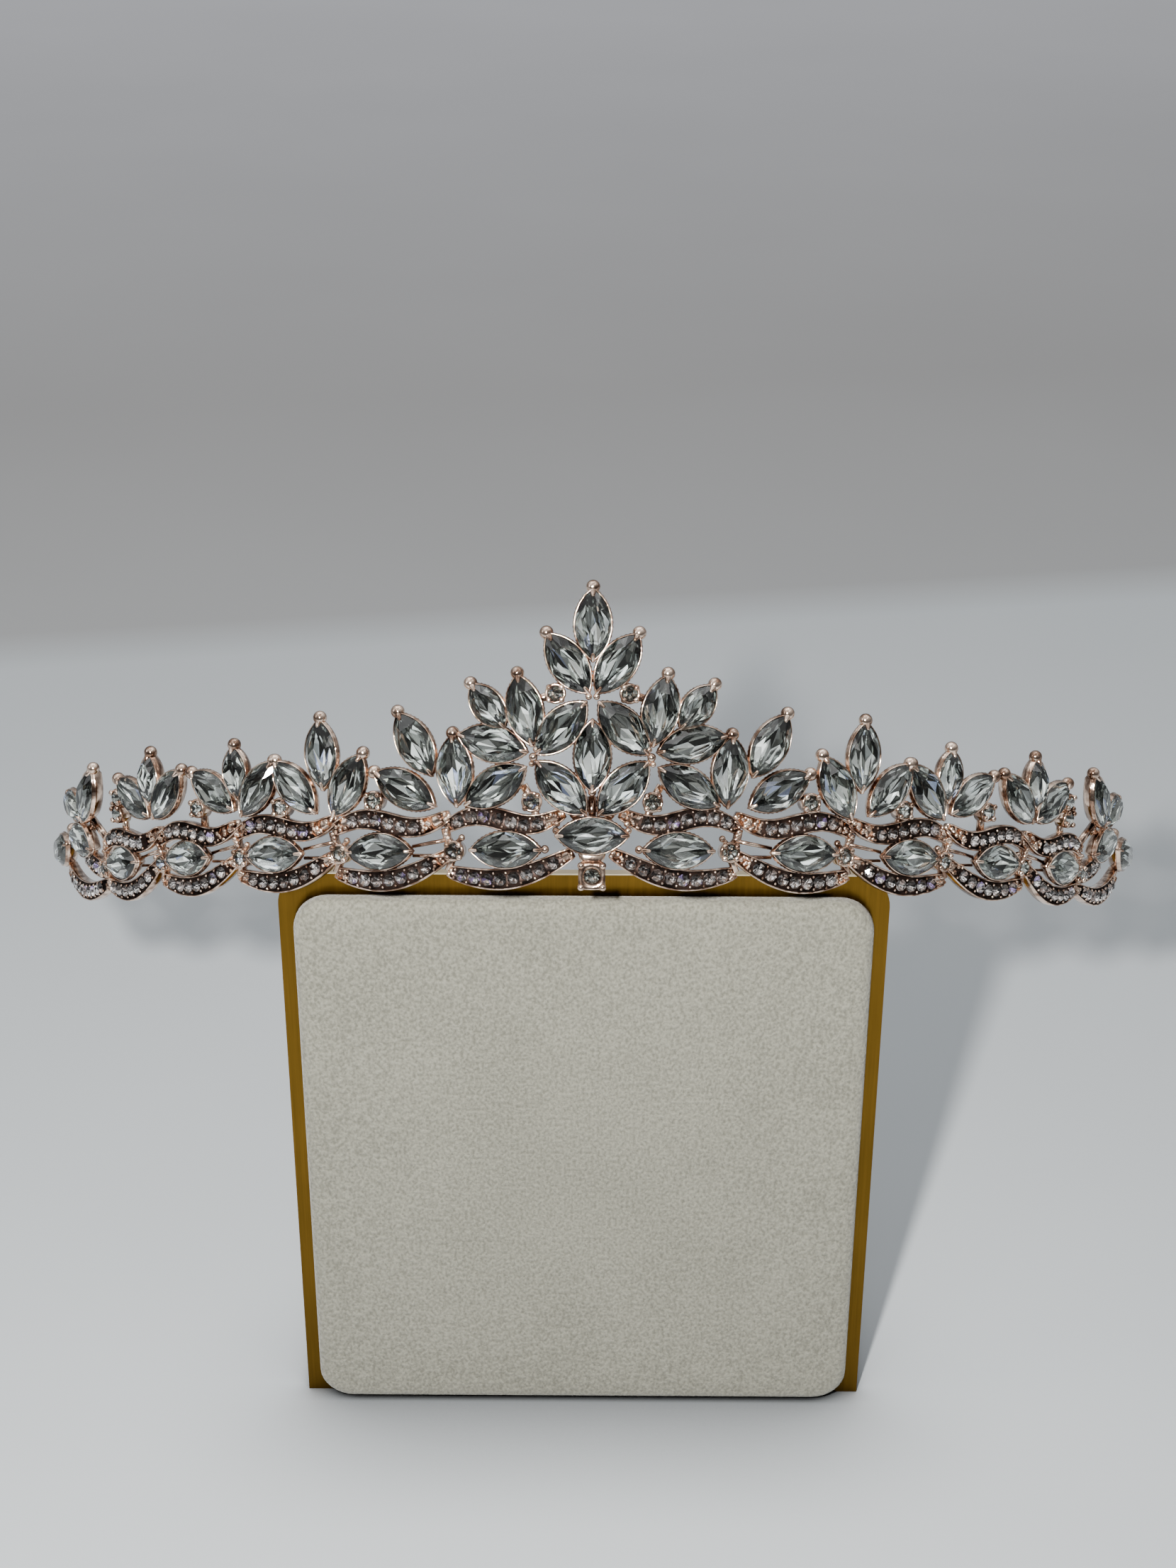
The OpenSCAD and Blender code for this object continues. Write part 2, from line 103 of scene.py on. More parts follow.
# Lower ribbons: start of the first, reach past a junction, height, fall, sag, the first one's share
# of it, and how it grows with each junction past the third
LOWER_START = 2.24
LOWER_PAST = 0.5
LOWER_H = 5.0
LOWER_FALL = 2.2
SCALLOP = 2.1
FIRST_SCALLOP_SHARE = 0.95
LOWER_DROP = 0.2
DEEPER_PAST = 3

# Upper ribbons: start of the first, start of the others and reach past a junction, height, how it
# drops from one to the next and along each, and the wave
UPPER_START = 3.28
UPPER_NEXT = 0.1
UPPER_PAST = 0.7
UPPER_H = 8.8
UPPER_DROP = 0.22
UPPER_FALL = 1.8
WAVE = 0.95

# The rising ribbon and the end ribbon: arc and height of the start, and how far they run
RISING_FROM = (76.0, 3.8)
RISING_RUN = (7.6, 2.6)
END_FROM = (75.7, 2.6)
END_RUN = (19.6, 3.2)
END_SAG = 1.47

# Width of a ribbon at its tips, and how much wider and how full it is between them
TIP_W = 1.1
SWELL = 1.4
SWELL_POWER = 0.6

# The stand: its plate and where its face lies, the borders round the pad, the pad's corners and
# thickness, the dip of its middle, the gap behind it, and the rounding of the metal's edges
PLATE_W = 75.6
PLATE_H = 82.3
SHIFT_Y = -17.17
PAD_SIDE = 1.9
PAD_TOP = 2.9
PAD_FOOT = 0.6
PAD_CORNER = 4.4
PAD_T = 2.5
PAD_DIP = 0.12
CONTACT = 0.06
SOFT_EDGE = 0.14

# How the diadem lies on the stand, and how far the pad is beside its middle
BAND_OUT = 9.9
BAND_UP = 85.3
TILT = math.radians(32.7)
BESIDE = 1.0

SEAT = Matrix.Translation((0, SHIFT_Y - BAND_OUT, BAND_UP)) @ Matrix.Rotation(-TILT, 4, "X")

# The tables are for the right half, which is mirrored to the left. Their arcs and heights are in
# lengths of a main stone, and their leans in degrees from upright.
UNIT = STONE[0]

# Crest: arc, height, lean, small, ball at the outer tip
CREST = [
    (0, 3.98, 0, False, True),
    (0, 2.05, 0, False, False),
    (0.35, 3.41, 35, False, True),
    (0.45, 2.46, 136, False, False),
    (0.45, 1.58, 43, False, False),
    (0.97, 2.73, 11, False, True),
    (1.50, 2.79, 37, True, True),
    (1.44, 2.24, 76, False, False),
    (1.41, 1.61, 121, False, False),
    (2.01, 1.85, 2, False, True),
    (2.60, 2.25, 28, False, True),
    (2.78, 1.58, 61, False, True),
    (9.84, 1.79, -38, False, True),
    (10.53, 1.68, 50, True, False),
]
# Leaf trios: place beside the junction, height, lean and size of the middle leaf, leans of the others
TRIOS = [
    (0.14, 2.14, 0, False, -30, 41),
    (-0.11, 1.93, 0, True, -41, 55),
    (0.03, 1.93, -10, True, -48, 53),
]
# The inner and the outer leaf of a trio, in millimetres: how far beside the middle one, and height
LEAF_IN = 3.28
LEAF_OUT = 4.0
LEAF_H = 13.28
# Round stones between the settings: arc, height
ACCENTS = [
    (0.53, 2.97), (0.885, 1.375), (3.30, 1.415), (4.91, 1.36), (6.60, 1.41), (8.80, 1.43), (8.75, 1.69),
]
# Wires: arc and height of one end, arc and height of the other
WIRES = [
    (0, 1.45, 0, 1.05), (0.12, 1.28, 0.30, 1.12), (0.885, 1.375, 0.80, 1.02),
    (0.885, 1.375, 1.02, 1.62), (0.53, 2.97, 0.42, 3.20), (0.53, 2.97, 0.90, 2.85),
    (1.85, 1.32, 1.85, 1.10), (3.30, 1.415, 3.34, 1.12), (3.30, 1.415, 3.10, 1.55),
    (4.91, 1.36, 4.91, 1.10), (4.91, 1.36, 4.70, 1.58), (6.60, 1.41, 6.60, 1.12),
    (6.60, 1.41, 6.35, 1.60), (8.80, 1.43, 8.80, 1.12), (8.78, 1.43, 8.60, 1.88),
    (10.13, 1.42, 10.22, 1.20), (10.12, 1.40, 9.60, 1.06), (10.95, 1.27, 11.35, 1.04),
]
# Stones past the last junction: arc, height, lean, ball at the outer tip
ENDS = [(10.36, 1.09, 68, True), (11.80, 1.00, 97, False)]


# Places

def on_band(s, h, lean=0.0, out=0.0):
    """A place on the flared band: arc and height of its back, lean from upright, distance out."""
    return (
        SEAT
        @ Matrix.Translation((0, BAND_R, 0))
        @ Matrix.Rotation(s / FACE_R, 4, "Z")
        @ Matrix.Translation((0, -BAND_R, 0))
        @ Matrix.Rotation(math.radians(90) + FLARE, 4, "X")
        @ Matrix.Translation((0, h, out))
        @ Matrix.Rotation(-math.radians(lean), 4, "Z")
    )


def band_point(s, h, out):
    """A point of the metal: arc, height and distance out from the back."""
    r = BAND_R + h * math.sin(FLARE) + out * math.cos(FLARE)
    a = s / FACE_R
    return SEAT @ Vector(
        (r * math.sin(a), BAND_R - r * math.cos(a), h * math.cos(FLARE) - out * math.sin(FLARE))
    )


def junction_s(i):
    """Arc of a junction. The one with number 0 is the middle of the band."""
    return 0.0 if i == 0 else FIRST_ARC + (i - 1) * UNIT_ARC


def row_s(i):
    """Arc of the row stone before a junction."""
    return FIRST_ARC - FIRST_ROW_BACK if i == 1 else junction_s(i) - ROW_BACK


def crest_places():
    """Arc, height, lean, size and ball of each stone."""
    places = []
    for s, h, lean, small, ball in CREST:
        size = SMALL if small else STONE
        for side in ((1,) if s == 0 else (-1, 1)):
            places.append((side * s * UNIT, h * UNIT, side * lean, size, ball))
    return places


def row_places():
    """The stones of the band's row and those past the last junction."""
    places = [(0.0, MIDDLE_ROW_H, 90, ROW, False)]
    for side in (-1, 1):
        for i in range(1, JUNCTIONS + 1):
            places.append((side * row_s(i), ROW_H - ROW_DROP * i, side * 90, ROW, False))
        for s, h, lean, ball in ENDS:
            places.append((side * s * UNIT, h * UNIT, side * lean, ROW, ball))
    return places


def trio_places():
    """The leaf trios above the junctions, from the second junction on."""
    places = []
    for i, (ds, h, lean, small, inner, outer) in enumerate(TRIOS):
        s = junction_s(i + 2) + ds * UNIT
        for side in (-1, 1):
            places.append((side * s, h * UNIT, side * lean, SMALL if small else STONE, True))
            places.append((side * (s - LEAF_IN), LEAF_H, side * inner, STONE, True))
            places.append((side * (s + LEAF_OUT), LEAF_H, side * outer, STONE, True))
    return places


def junction_round(i, side):
    """Arc and height of the round stone at a junction."""
    return (side * (junction_s(i) - ROUND_BACK), ROW_H - ROUND_DROP * i)


def accent_places():
    """Arc and height of each round stone, but for the one in the square setting."""
    places = []
    for side in (-1, 1):
        places += [(side * s * UNIT, h * UNIT) for s, h in ACCENTS]
        places += [junction_round(i, side) for i in range(1, JUNCTIONS + 1)]
    return places


# The ribbons: arc and height by the junction's number i and by u, from the inner tip to the outer tip

def lower_path(i, u):
    s0 = LOWER_START if i == 1 else junction_s(i - 1)
    s1 = junction_s(i) + LOWER_PAST
    sag = FIRST_SCALLOP_SHARE * SCALLOP if i == 1 else SCALLOP + LOWER_DROP * max(0, i - DEEPER_PAST)
    return (s0 + (s1 - s0) * u, LOWER_H - LOWER_FALL * u - sag * math.sin(math.pi * u))


def upper_path(i, u):
    s0 = UPPER_START if i == 1 else junction_s(i - 1) + UPPER_NEXT
    s1 = junction_s(i) + UPPER_PAST
    h = UPPER_H - UPPER_DROP * (i - 1) + UPPER_FALL * (0.5 - u)
    return (s0 + (s1 - s0) * u, h - WAVE * math.sin(2 * math.pi * u))


def rising_path(_, u):
    return (RISING_FROM[0] + RISING_RUN[0] * u, RISING_FROM[1] + RISING_RUN[1] * u)


def end_path(_, u):
    h = END_FROM[1] + END_RUN[1] * u * u - END_SAG * math.sin(math.pi * u)
    return (END_FROM[0] + END_RUN[0] * u, h)


def ribbon_width(u):
    return TIP_W + SWELL * max(0.0, math.sin(math.pi * u)) ** SWELL_POWER


def along(path, i, u):
    """Place and sideways direction of a ribbon at u."""
    du = 0.02
    a = Vector(path(i, max(0.0, u - du)))
    b = Vector(path(i, min(1.0, u + du)))
    d = (b - a).normalized()
    return Vector(path(i, u)), Vector((-d.y, d.x))


def across(side, p, e, q):
    """A place on the band, q sideways of a ribbon's middle p in its direction e."""
    return on_band(side * (p.x + q * e.x), p.y + q * e.y)


# Mesh building

class Build:
    """Gathers the faces of one piece."""

    def __init__(self):
        self.points = []
        self.faces = []
        self.smooth = []
        self.slots = []

    def add(self, points, faces, place=None, smooth=True, slot=0):
        """Adds faces at a place. The slot is one material slot, or a list with one for each face."""
        first = len(self.points)
        if place is None:
            self.points += [Vector(p) for p in points]
        else:
            self.points += [place @ Vector(p) for p in points]
        self.faces += [[first + k for k in face] for face in faces]
        self.smooth += [smooth] * len(faces)
        self.slots += slot if isinstance(slot, list) else [slot] * len(faces)

    def make(self, name, materials, turn=True):
        """Makes the piece and lets it ride on the object. Its normals are turned outwards,
        or stay as built where turn is False, as in the stones."""
        mesh = bpy.data.meshes.new(name)
        mesh.from_pydata([p * MM for p in self.points], [], self.faces)
        for polygon, smooth, slot in zip(mesh.polygons, self.smooth, self.slots):
            polygon.use_smooth = smooth
            polygon.material_index = slot
        for material in materials:
            mesh.materials.append(material)
        piece = bpy.data.objects.new(name, mesh)
        bpy.context.scene.collection.objects.link(piece)
        if turn:
            shape = bmesh.new()
            shape.from_mesh(mesh)
            bmesh.ops.recalc_face_normals(shape, faces=shape.faces)
            shape.to_mesh(mesh)
            shape.free()
        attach(piece, "root")
        return piece


def loft_faces(rings, count, first_cap=True, last_cap=True):
    """Faces between rings of points that follow each other, with the ends closed."""
    faces = []
    for k in range(rings - 1):
        for j in range(count):
            a = k * count + j
            b = k * count + (j + 1) % count
            faces.append([a, b, b + count, a + count])
    if first_cap:
        faces.append(list(range(count - 1, -1, -1)))
    if last_cap:
        faces.append([(rings - 1) * count + j for j in range(count)])
    return faces


def add_loft(build, rings, place=None, smooth=True, slot=0, caps=(True, True)):
    """Adds a skin over rings of points. The caps say which ends are closed."""
    points = [p for ring in rings for p in ring]
    build.add(points, loft_faces(len(rings), len(rings[0]), *caps), place, smooth, slot)


def navette(size, n, grow=0.0):
    """Outline of a navette with n points a side, grown outwards."""
    a = size[0] / 2
    b = size[1] / 2
    r = (a * a + b * b) / (2 * b)
    big = r + grow
    half = math.acos((r - b) / big)
    right = [half * (2 * k / n - 1) for k in range(n)]
    points = [(big * math.cos(t) - r + b, big * math.sin(t)) for t in right]
    return points + [(-x, -y) for x, y in points]


def circle(r, n):
    turns = [2 * math.pi * k / n for k in range(n)]
    return [(r * math.cos(t), r * math.sin(t)) for t in turns]


def squarer(x, power):
    """A coordinate of the unit circle, pushed out towards a square's."""
    return math.copysign(abs(x) ** power, x)


def level(outline, z):
    return [(x, y, z) for x, y in outline]


def add_ball(build, r, centre, place=None, rings=8, sides=14):
    """A ball with its pole outwards."""
    x, y, z = centre
    shape = []
    for k in range(1, rings):
        a = math.pi * k / rings
        shape.append([
            (x + r * math.sin(a) * c, y + r * math.sin(a) * s, z - r * math.cos(a))
            for c, s in circle(1, sides)
        ])
    add_loft(build, shape, place)


def add_claw(build, a, b, ra, rb, place):
    """A tapered finger of metal with round ends, from a to b."""
    steps = 4
    sides = 10
    a = Vector(a)
    b = Vector(b)
    d = (b - a).normalized()
    side = d.cross(Vector((1, 0, 0))).normalized()
    other = d.cross(side)
    turns = [math.pi / 2 * t / steps for t in range(1, steps)]
    rings = [(a - d * ra * math.cos(q), ra * math.sin(q)) for q in turns]
    rings += [(a, ra), (b, rb)]
    rings += [(b + d * rb * math.cos(q), rb * math.sin(q)) for q in reversed(turns)]
    shape = [
        [tuple(c + side * r * x + other * r * y) for x, y in circle(1, sides)]
        for c, r in rings
    ]
    add_loft(build, shape, place)


# Stones. A stone's back is foiled, and each of its facets takes one of the foils, whose tones from near
# white to near black are painted reflections: the light and shade the facets would show.

# Across the back: how far out the ridges lie, in shares of the half width, how far off the middle
# in shares of the half length, and how deep
RIDGES = [
    (-0.82, 0.03, 0.36), (-0.52, -0.16, 0.80), (-0.20, 0.14, 0.96),
    (0.14, -0.12, 1.0), (0.48, 0.17, 0.80), (0.80, -0.04, 0.38),
]
FOIL_COUNT = 4
# The share of facets whose foil is painted fire, a flash of colour, and how much lighter the facets along
# the rim are, as painted light
PAINTED_FIRE_SHARE = 0.02
PAINTED_RIM_LIGHT = 0.2
# How dark a back is on average, from 0 to 1, as painted shade: most navette stones, those of the row,
# round stones
SHADE = 0.38
ROW_SHADE = 0.25
ROUND_SHADE = 0.4
# How far a facet's painted shade strays at random, how much lighter it gets as it looks up (painted
# light), and from what tilt
SHADE_STRAY = 0.55
PAINTED_LIGHT_UP = 1.2
EVEN_UP = 0.42
# The narrow facets break between ridge and tip, at these shares of both
RIDGE_PULL = 0.55
TIP_PULL = 0.45
# Steps along each side of a navette stone's outline
CUT_STEPS = 8


def foil_slot(rng, place, points, shade):
    """The foil of a facet, as painted shade: darker ones are likelier where the facet looks down."""
    a, b, c = [place @ Vector(p) for p in points]
    up = -(b - a).cross(c - a).normalized().z
    # Painted fire: a few facets take the coloured foil for a flash of colour.
    if rng.random() < PAINTED_FIRE_SHARE:
        return 1 + FOIL_COUNT
    shade += rng.uniform(-SHADE_STRAY, SHADE_STRAY) - PAINTED_LIGHT_UP * (up - EVEN_UP)
    return 1 + min(FOIL_COUNT - 1, max(0, int(shade * FOIL_COUNT)))


def add_back(build, points, faces, place, rng, shade, painted_rim_light=0.0):
    """The foiled back of a stone, whose facets along the rim get painted light that makes them lighter."""
    slots = []
    for face in faces:
        corners = [points[k] for k in face]
        on_rim = sum(p[2] == 0 for p in corners) == 2
        slots.append(foil_slot(rng, place, corners, shade - painted_rim_light * on_rim))
    build.add(points, faces, place, False, slots)


def add_crown(build, outline, crown, table_share, girdle, place):
    """The girdle, the star of crown facets and the table, over an outline with an even count."""
    count = len(outline)
    half = count // 2
    rim = level(outline, girdle)
    table = [(outline[k][0] * table_share, outline[k][1] * table_share, crown) for k in range(1, count, 2)]
    faces = []
    for k in range(half):
        a = 2 * k
        b = (2 * k + 2) % count
        faces.append([a, a + 1, count + k])
        faces.append([a + 1, b, count + k])
        faces.append([b, count + (k + 1) % half, count + k])
    faces.append([count + k for k in range(half)])
    build.add(rim + table, faces, place, False)
    add_loft(build, [level(outline, 0), rim], place, False, 0, (False, False))


def navette_ridges(size, rng):
    """Points across the back of a navette stone, in a broken line over its middle."""
    flip = rng.choice((-1, 1))
    ridges = []
    for x, y, depth in RIDGES:
        x += rng.uniform(-0.06, 0.06)
        y = flip * y + rng.uniform(-0.05, 0.05)
        z = -PAVILION * depth * rng.uniform(0.86, 1.1)
        ridges.append((x * size[1] / 2, y * size[0] / 2, z))
    return ridges


def navette_breaks(ridges, tip, rng):
    """Points between the ridges and one tip, where the narrow facets break."""
    breaks = []
    for x, y, z in ridges:
        x = RIDGE_PULL * x + TIP_PULL * tip[0] + rng.uniform(-0.06, 0.06)
        y = RIDGE_PULL * y + TIP_PULL * tip[1] + rng.uniform(-0.4, 0.4)
        breaks.append((x, y, z * rng.uniform(0.55, 0.72)))
    return breaks


def navette_facets(n, count):
    """Facets of the back, over 2n points of the girdle from its lower tip, count ridges, as many
    breaks towards the lower tip, and as many towards the upper tip."""
    first = 2 * n
    last = first + count - 1
    middle = n // 2
    faces = []
    for k in range(first, last):
        a = k + count
        b = a + count
        faces += [[k + 1, k, b], [k + 1, b, b + 1], [b + 1, b, n]]
        faces += [[k, k + 1, a + 1], [k, a + 1, a], [a, a + 1, 0]]
    for k in range(n):
        near = last + (2 * count if k >= middle else count)
        faces.append([near, k + 1, k])
        near = first + (count if k >= middle else 2 * count)
        faces.append([near, (n + k + 1) % (2 * n), n + k])
    faces += [[last, last + 2 * count, middle], [last, middle, last + count]]
    faces += [[first, first + count, n + middle], [first, n + middle, first + 2 * count]]
    return faces


def add_navette_stone(build, size, place, rng, shade):
    """A navette cut. The facets of its back run as narrow fans from each tip to the middle."""
    outline = navette(size, CUT_STEPS, STONE_OVER)
    add_crown(build, outline, CROWN, TABLE, GIRDLE, place)
    girdle = level(outline, 0)
    ridges = navette_ridges(size, rng)
    lower = navette_breaks(ridges, girdle[0], rng)
    upper = navette_breaks(ridges, girdle[CUT_STEPS], rng)
    faces = navette_facets(CUT_STEPS, len(ridges))
    add_back(build, girdle + ridges + lower + upper, faces, place, rng, shade, PAINTED_RIM_LIGHT)


def add_round_stone(build, d, crown, depth, sides, place, rng):
    """A round cut with a table, crown facets and a pointed back."""
    outline = circle(d / 2, sides)
    add_crown(build, outline, crown, ROUND_TABLE, ROUND_GIRDLE, place)
    points = level(outline, 0) + [(0, 0, -depth)]
    faces = [[sides, (k + 1) % sides, k] for k in range(sides)]
    add_back(build, points, faces, place, rng, ROUND_SHADE)


# Settings

# The wall round a navette stone, from its lip to its back: grown by, height, notched
BEZEL = [
    (0.10, 1.50, False),
    (0.13, 2.00, False),
    (0.17, 2.12, False),
    (0.24, 2.11, False),
    (0.29, 1.98, False),
    (0.31, 1.74, False),
    (0.40, 1.68, True),
    (0.43, 1.50, True),
    (0.34, 1.36, False),
    (0.26, 1.15, False),
    (0.05, 0.70, False),
    (-0.30, 0.32, False),
    (-0.90, 0.20, False),
]
BEZEL_STEPS = 38
NOTCH = 0.09
# The ball's height, and its claw: start behind the ball's middle, reach over the tip, heights, radii
BALL_H = 1.60
CLAW_BACK = 0.45
CLAW_OVER = 0.55
CLAW_H = (2.05, 2.34)
CLAW_R = (0.42, 0.24)
# The prong of a tip without a ball: start past the tip, length, heights, radii
PRONG_OUT = 0.2
PRONG_LENGTH = 0.7
PRONG_H = (1.95, 2.30)
PRONG_R = (0.27, 0.20)
# The collar of a round stone: foot and lip, and its four beads
COLLAR_FOOT = 0.08
COLLAR_LIP = 0.18
COLLAR_SIDES = 24
COLLAR_BEAD_R = 0.38
COLLAR_BEAD_OUT = 1.04
COLLAR_BEAD_H = 1.94


def add_bezel(build, size, place):
    """The wall round a navette stone: a thin lip, a notched step and a closed back."""
    rings = []
    for grow, z, notched in BEZEL:
        ring = level(navette(size, BEZEL_STEPS, grow), z)
        if notched:
            cut = level(navette(size, BEZEL_STEPS, grow - NOTCH), z)
            ring = [cut[k] if k % 2 else ring[k] for k in range(2 * BEZEL_STEPS)]
        rings.append(ring)
    add_loft(build, rings, place, caps=(False, True))


def add_tip_ball(build, length, place):
    """The ball at the free tip of a setting, and its claw over the stone's tip."""
    y = length / 2 + BALL_OUT
    add_ball(build, BALL_D / 2, (0, y, BALL_H), place, 12, 20)
    add_claw(build, (0, y - CLAW_BACK, CLAW_H[0]), (0, length / 2 - CLAW_OVER, CLAW_H[1]), *CLAW_R, place)


def add_tip_prong(build, length, place, end):
    """A small prong over a tip that has no ball. The end is 1 for the upper tip, -1 for the lower."""
    y = end * (length / 2 + PRONG_OUT)
    add_claw(build, (0, y, PRONG_H[0]), (0, y - end * PRONG_LENGTH, PRONG_H[1]), *PRONG_R, place)


def add_accent(build, p):
    """A round stone's collar, closed at its back, with four beads."""
    place = on_band(p[0], p[1])
    r_in = ROUND_D / 2
    r_out = r_in + WALL
    top = SEAT_H + COLLAR_LIP
    # Radius and height, from the inside over the lip to the foot
    profile = [
        (r_in, top - 0.25), (r_in + 0.02, top - 0.06), ((r_in + r_out) / 2, top),
        (r_out - 0.04, top - 0.08), (r_out, top - 0.2),
        (r_out - 0.05, COLLAR_FOOT + 0.1), (r_out - 0.2, COLLAR_FOOT),
    ]
    rings = [level(circle(r, COLLAR_SIDES), z) for r, z in profile]
    add_loft(build, rings, place, caps=(False, True))
    for k in range(4):
        a = math.pi / 4 + math.pi / 2 * k
        at = (COLLAR_BEAD_OUT * math.cos(a), COLLAR_BEAD_OUT * math.sin(a), COLLAR_BEAD_H)
        add_ball(build, COLLAR_BEAD_R, at, place, 6, 10)


# Ribbons, rails and wires

RIBBON_STEPS = 44
# Widths of a ribbon's lower and upper rail, and the most of its half width that a rail takes
LOW_RAIL = 0.22
HIGH_RAIL = 0.20
RAIL_SHARE = 0.45
# Heights of the channel's floor, of a rail's edges and of its top, and the greatest one at a tip
FLOOR_H = 0.92
RAIL_EDGE_H = 1.32
RAIL_TOP_H = 1.46
TIP_H = 1.1
# A ribbon's section has this many sides, and these are the floor of its channel.
CHANNEL_SIDES = 16
CHANNEL_FLOOR = (6, 7, 8)
# Bars of metal: width, and the heights of their back and front
WIRE = (1.0, 0.1, 0.95)
THIN_RAIL = (0.5, 0.1, 1.25)
FOOT_BAR = (0.9, 0.1, 1.2)
TOP_BAR = (1.1, 0.1, 1.15)
STUB_BAR = (0.6, 0.5, 1.3)
BAR_SIDES = 10
BAR_POWER = 0.7


def half_section(rail):
    """Half of a ribbon's section, from its foot over its rail to its floor: distance in, height."""
    return [
        (0.14, 0.10), (0.02, 0.24), (-0.02, 0.80), (0, RAIL_EDGE_H), (rail * 0.25, RAIL_TOP_H),
        (rail * 0.75, RAIL_TOP_H), (rail, RAIL_EDGE_H), (rail + 0.03, FLOOR_H),
    ]


def add_ribbon(build, path, i, side, stretch):
    """A channel with a raised bright rail along each side; along the stretch of its stones its floor is
    dark, partly the metal's antique tone and partly painted shade of the recess.
    """
    rings = []
    for k in range(RIBBON_STEPS + 1):
        u = k / RIBBON_STEPS
        p, e = along(path, i, u)
        w = ribbon_width(u) / 2 + 0.05
        low = half_section(min(LOW_RAIL, w * RAIL_SHARE))
        high = half_section(min(HIGH_RAIL, w * RAIL_SHARE))
        section = [(q - w, z) for q, z in low] + [(w - q, z) for q, z in reversed(high)]
        # A ribbon is low at its inner tip, and along its last step at the outer tip.
        top = TIP_H if k in (0, RIBBON_STEPS - 1, RIBBON_STEPS) else RAIL_TOP_H
        rings.append([
            band_point(side * (p.x + q * e.x), p.y + q * e.y, min(z, top))
            for q, z in section
        ])
    slots = []
    # The channel's floor under the stones takes the dark metal: partly antique tone, partly painted shade.
    for k in range(RIBBON_STEPS):
        under = stretch[0] < (k + 0.5) / RIBBON_STEPS < stretch[1]
        slots += [1 if under and j in CHANNEL_FLOOR else 0 for j in range(CHANNEL_SIDES)]
    # The last two faces close the ends.
    add_loft(build, rings, slot=slots + [0, 0])


def add_bar(build, route, width, z0, z1):
    """A rounded bar of metal along a route of arc and height."""
    rings = []
    stations = [Vector(p) for p in route]
    mid = (z0 + z1) / 2
    for k, p in enumerate(stations):
        a = stations[max(0, k - 1)]
        b = stations[min(len(stations) - 1, k + 1)]
        d = (b - a).normalized()
        e = Vector((-d.y, d.x))
        ring = []
        for x, y in circle(1, BAR_SIDES):
            q = width / 2 * squarer(x, BAR_POWER)
            z = mid + (z1 - z0) / 2 * squarer(y, BAR_POWER)
            ring.append(band_point(p.x + q * e.x, p.y + q * e.y, z))
        rings.append(ring)
    add_loft(build, rings)


def pave_places(path, i, count, centre):
    """Places of the pave stones of one ribbon."""
    step = PAVE_PITCH / (Vector(path(i, 1)) - Vector(path(i, 0))).length
    return [centre + (k - (count - 1) / 2) * step for k in range(count)]


# Grains on each millimetre of a ribbon's narrow end, their radii and height
GRAINS = 5
GRAIN_R = (0.20, 0.34)
GRAIN_H = 1.10
# The prong beads between the stones of a ribbon: radius, height, and how far off its middle
PAVE_BEAD_R = 0.17
PAVE_BEAD_H = 1.56
PAVE_BEAD_OUT = 0.74
# Single beads of metal: arc, height, distance out and radius
BEADS = [
    (6.8, 16.3, 2.0, 0.55),
    (6.5, 17.2, 1.9, 0.38),
    (7.0, 15.5, 1.9, 0.38),
    (0.45, 23.4, 1.9, 0.42),
    (0, 12.1, 1.8, 0.50),
    (5.55, 5.4, 1.7, 0.52),
    (4.25, 7.6, 1.5, 0.45),
    (4.1, 8.4, 1.4, 0.40),
]
# The ribbons of one side: path, number of the junction, stones, and the u of their middle
RUNS = (
    [(lower_path, i, 8 if i == 1 else 7, 0.52) for i in range(1, JUNCTIONS + 1)]
    + [(upper_path, i, 7 if i == 1 else 6, 0.55) for i in range(1, JUNCTIONS + 1)]
    + [(rising_path, 0, 4, 0.5), (end_path, 0, 9, 0.46)]
)


def diadem_settings():
    """Bezels, balls and claws of all the navette stones."""
    groups = [
        ("crest_settings", crest_places()),
        ("row_settings", row_places()),
        ("trio_settings", trio_places()),
    ]
    for name, places in groups:
        build = Build()
        for s, h, lean, size, ball in places:
            place = on_band(s, h, lean)
            add_bezel(build, size, place)
            if ball:
                add_tip_ball(build, size[0], place)
            else:
                add_tip_prong(build, size[0], place, 1)
            add_tip_prong(build, size[0], place, -1)
        piece = build.make(name, [ROSE])
        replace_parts(piece, "diadem_frame")


def add_grains(build, path, i, side, u0, u1, rng):
    """Grains of metal that fill the narrow stretches of a ribbon past its stones."""
    length = (Vector(path(i, u1)) - Vector(path(i, u0))).length
    for _ in range(int(GRAINS * length)):
        u = rng.uniform(u0, u1)
        p, e = along(path, i, u)
        w = max(0.0, ribbon_width(u) / 2 - 0.3)
        place = across(side, p, e, rng.uniform(-w, w))
        add_ball(build, rng.uniform(*GRAIN_R), (0, 0, GRAIN_H), place, 5, 8)


def add_pave_beads(build, path, i, side, u):
    """Two prong beads across a ribbon."""
    p, e = along(path, i, u)
    w = min(PAVE_BEAD_OUT, ribbon_width(u) / 2 - 0.32)
    for q in (-w, w):
        add_ball(build, PAVE_BEAD_R, (0, 0, PAVE_BEAD_H), across(side, p, e, q), 6, 8)


def diadem_ribbons():
    """The pave ribbons with the prong beads between their stones and the grains at their ends."""
    rng = random.Random(4)
    build = Build()
    beads = Build()
    for side in (-1, 1):
        for path, i, count, centre in RUNS:
            us = pave_places(path, i, count, centre)
            step = us[1] - us[0]
            add_ribbon(build, path, i, side, (us[0] - 0.6 * step, us[-1] + 0.6 * step))
            for k in range(count + 1):
                add_pave_beads(beads, path, i, side, us[0] + (k - 0.5) * step)
            add_grains(beads, path, i, side, 0.01, us[0] - step * 0.55, rng)
            add_grains(beads, path, i, side, us[-1] + step * 0.55, 0.99, rng)
    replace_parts(build.make("ribbons", [ROSE, ROSE_ANTIQUE_AND_SHADE]), "diadem_frame")
    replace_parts(beads.make("ribbon_beads", [ROSE]), "diadem_frame")


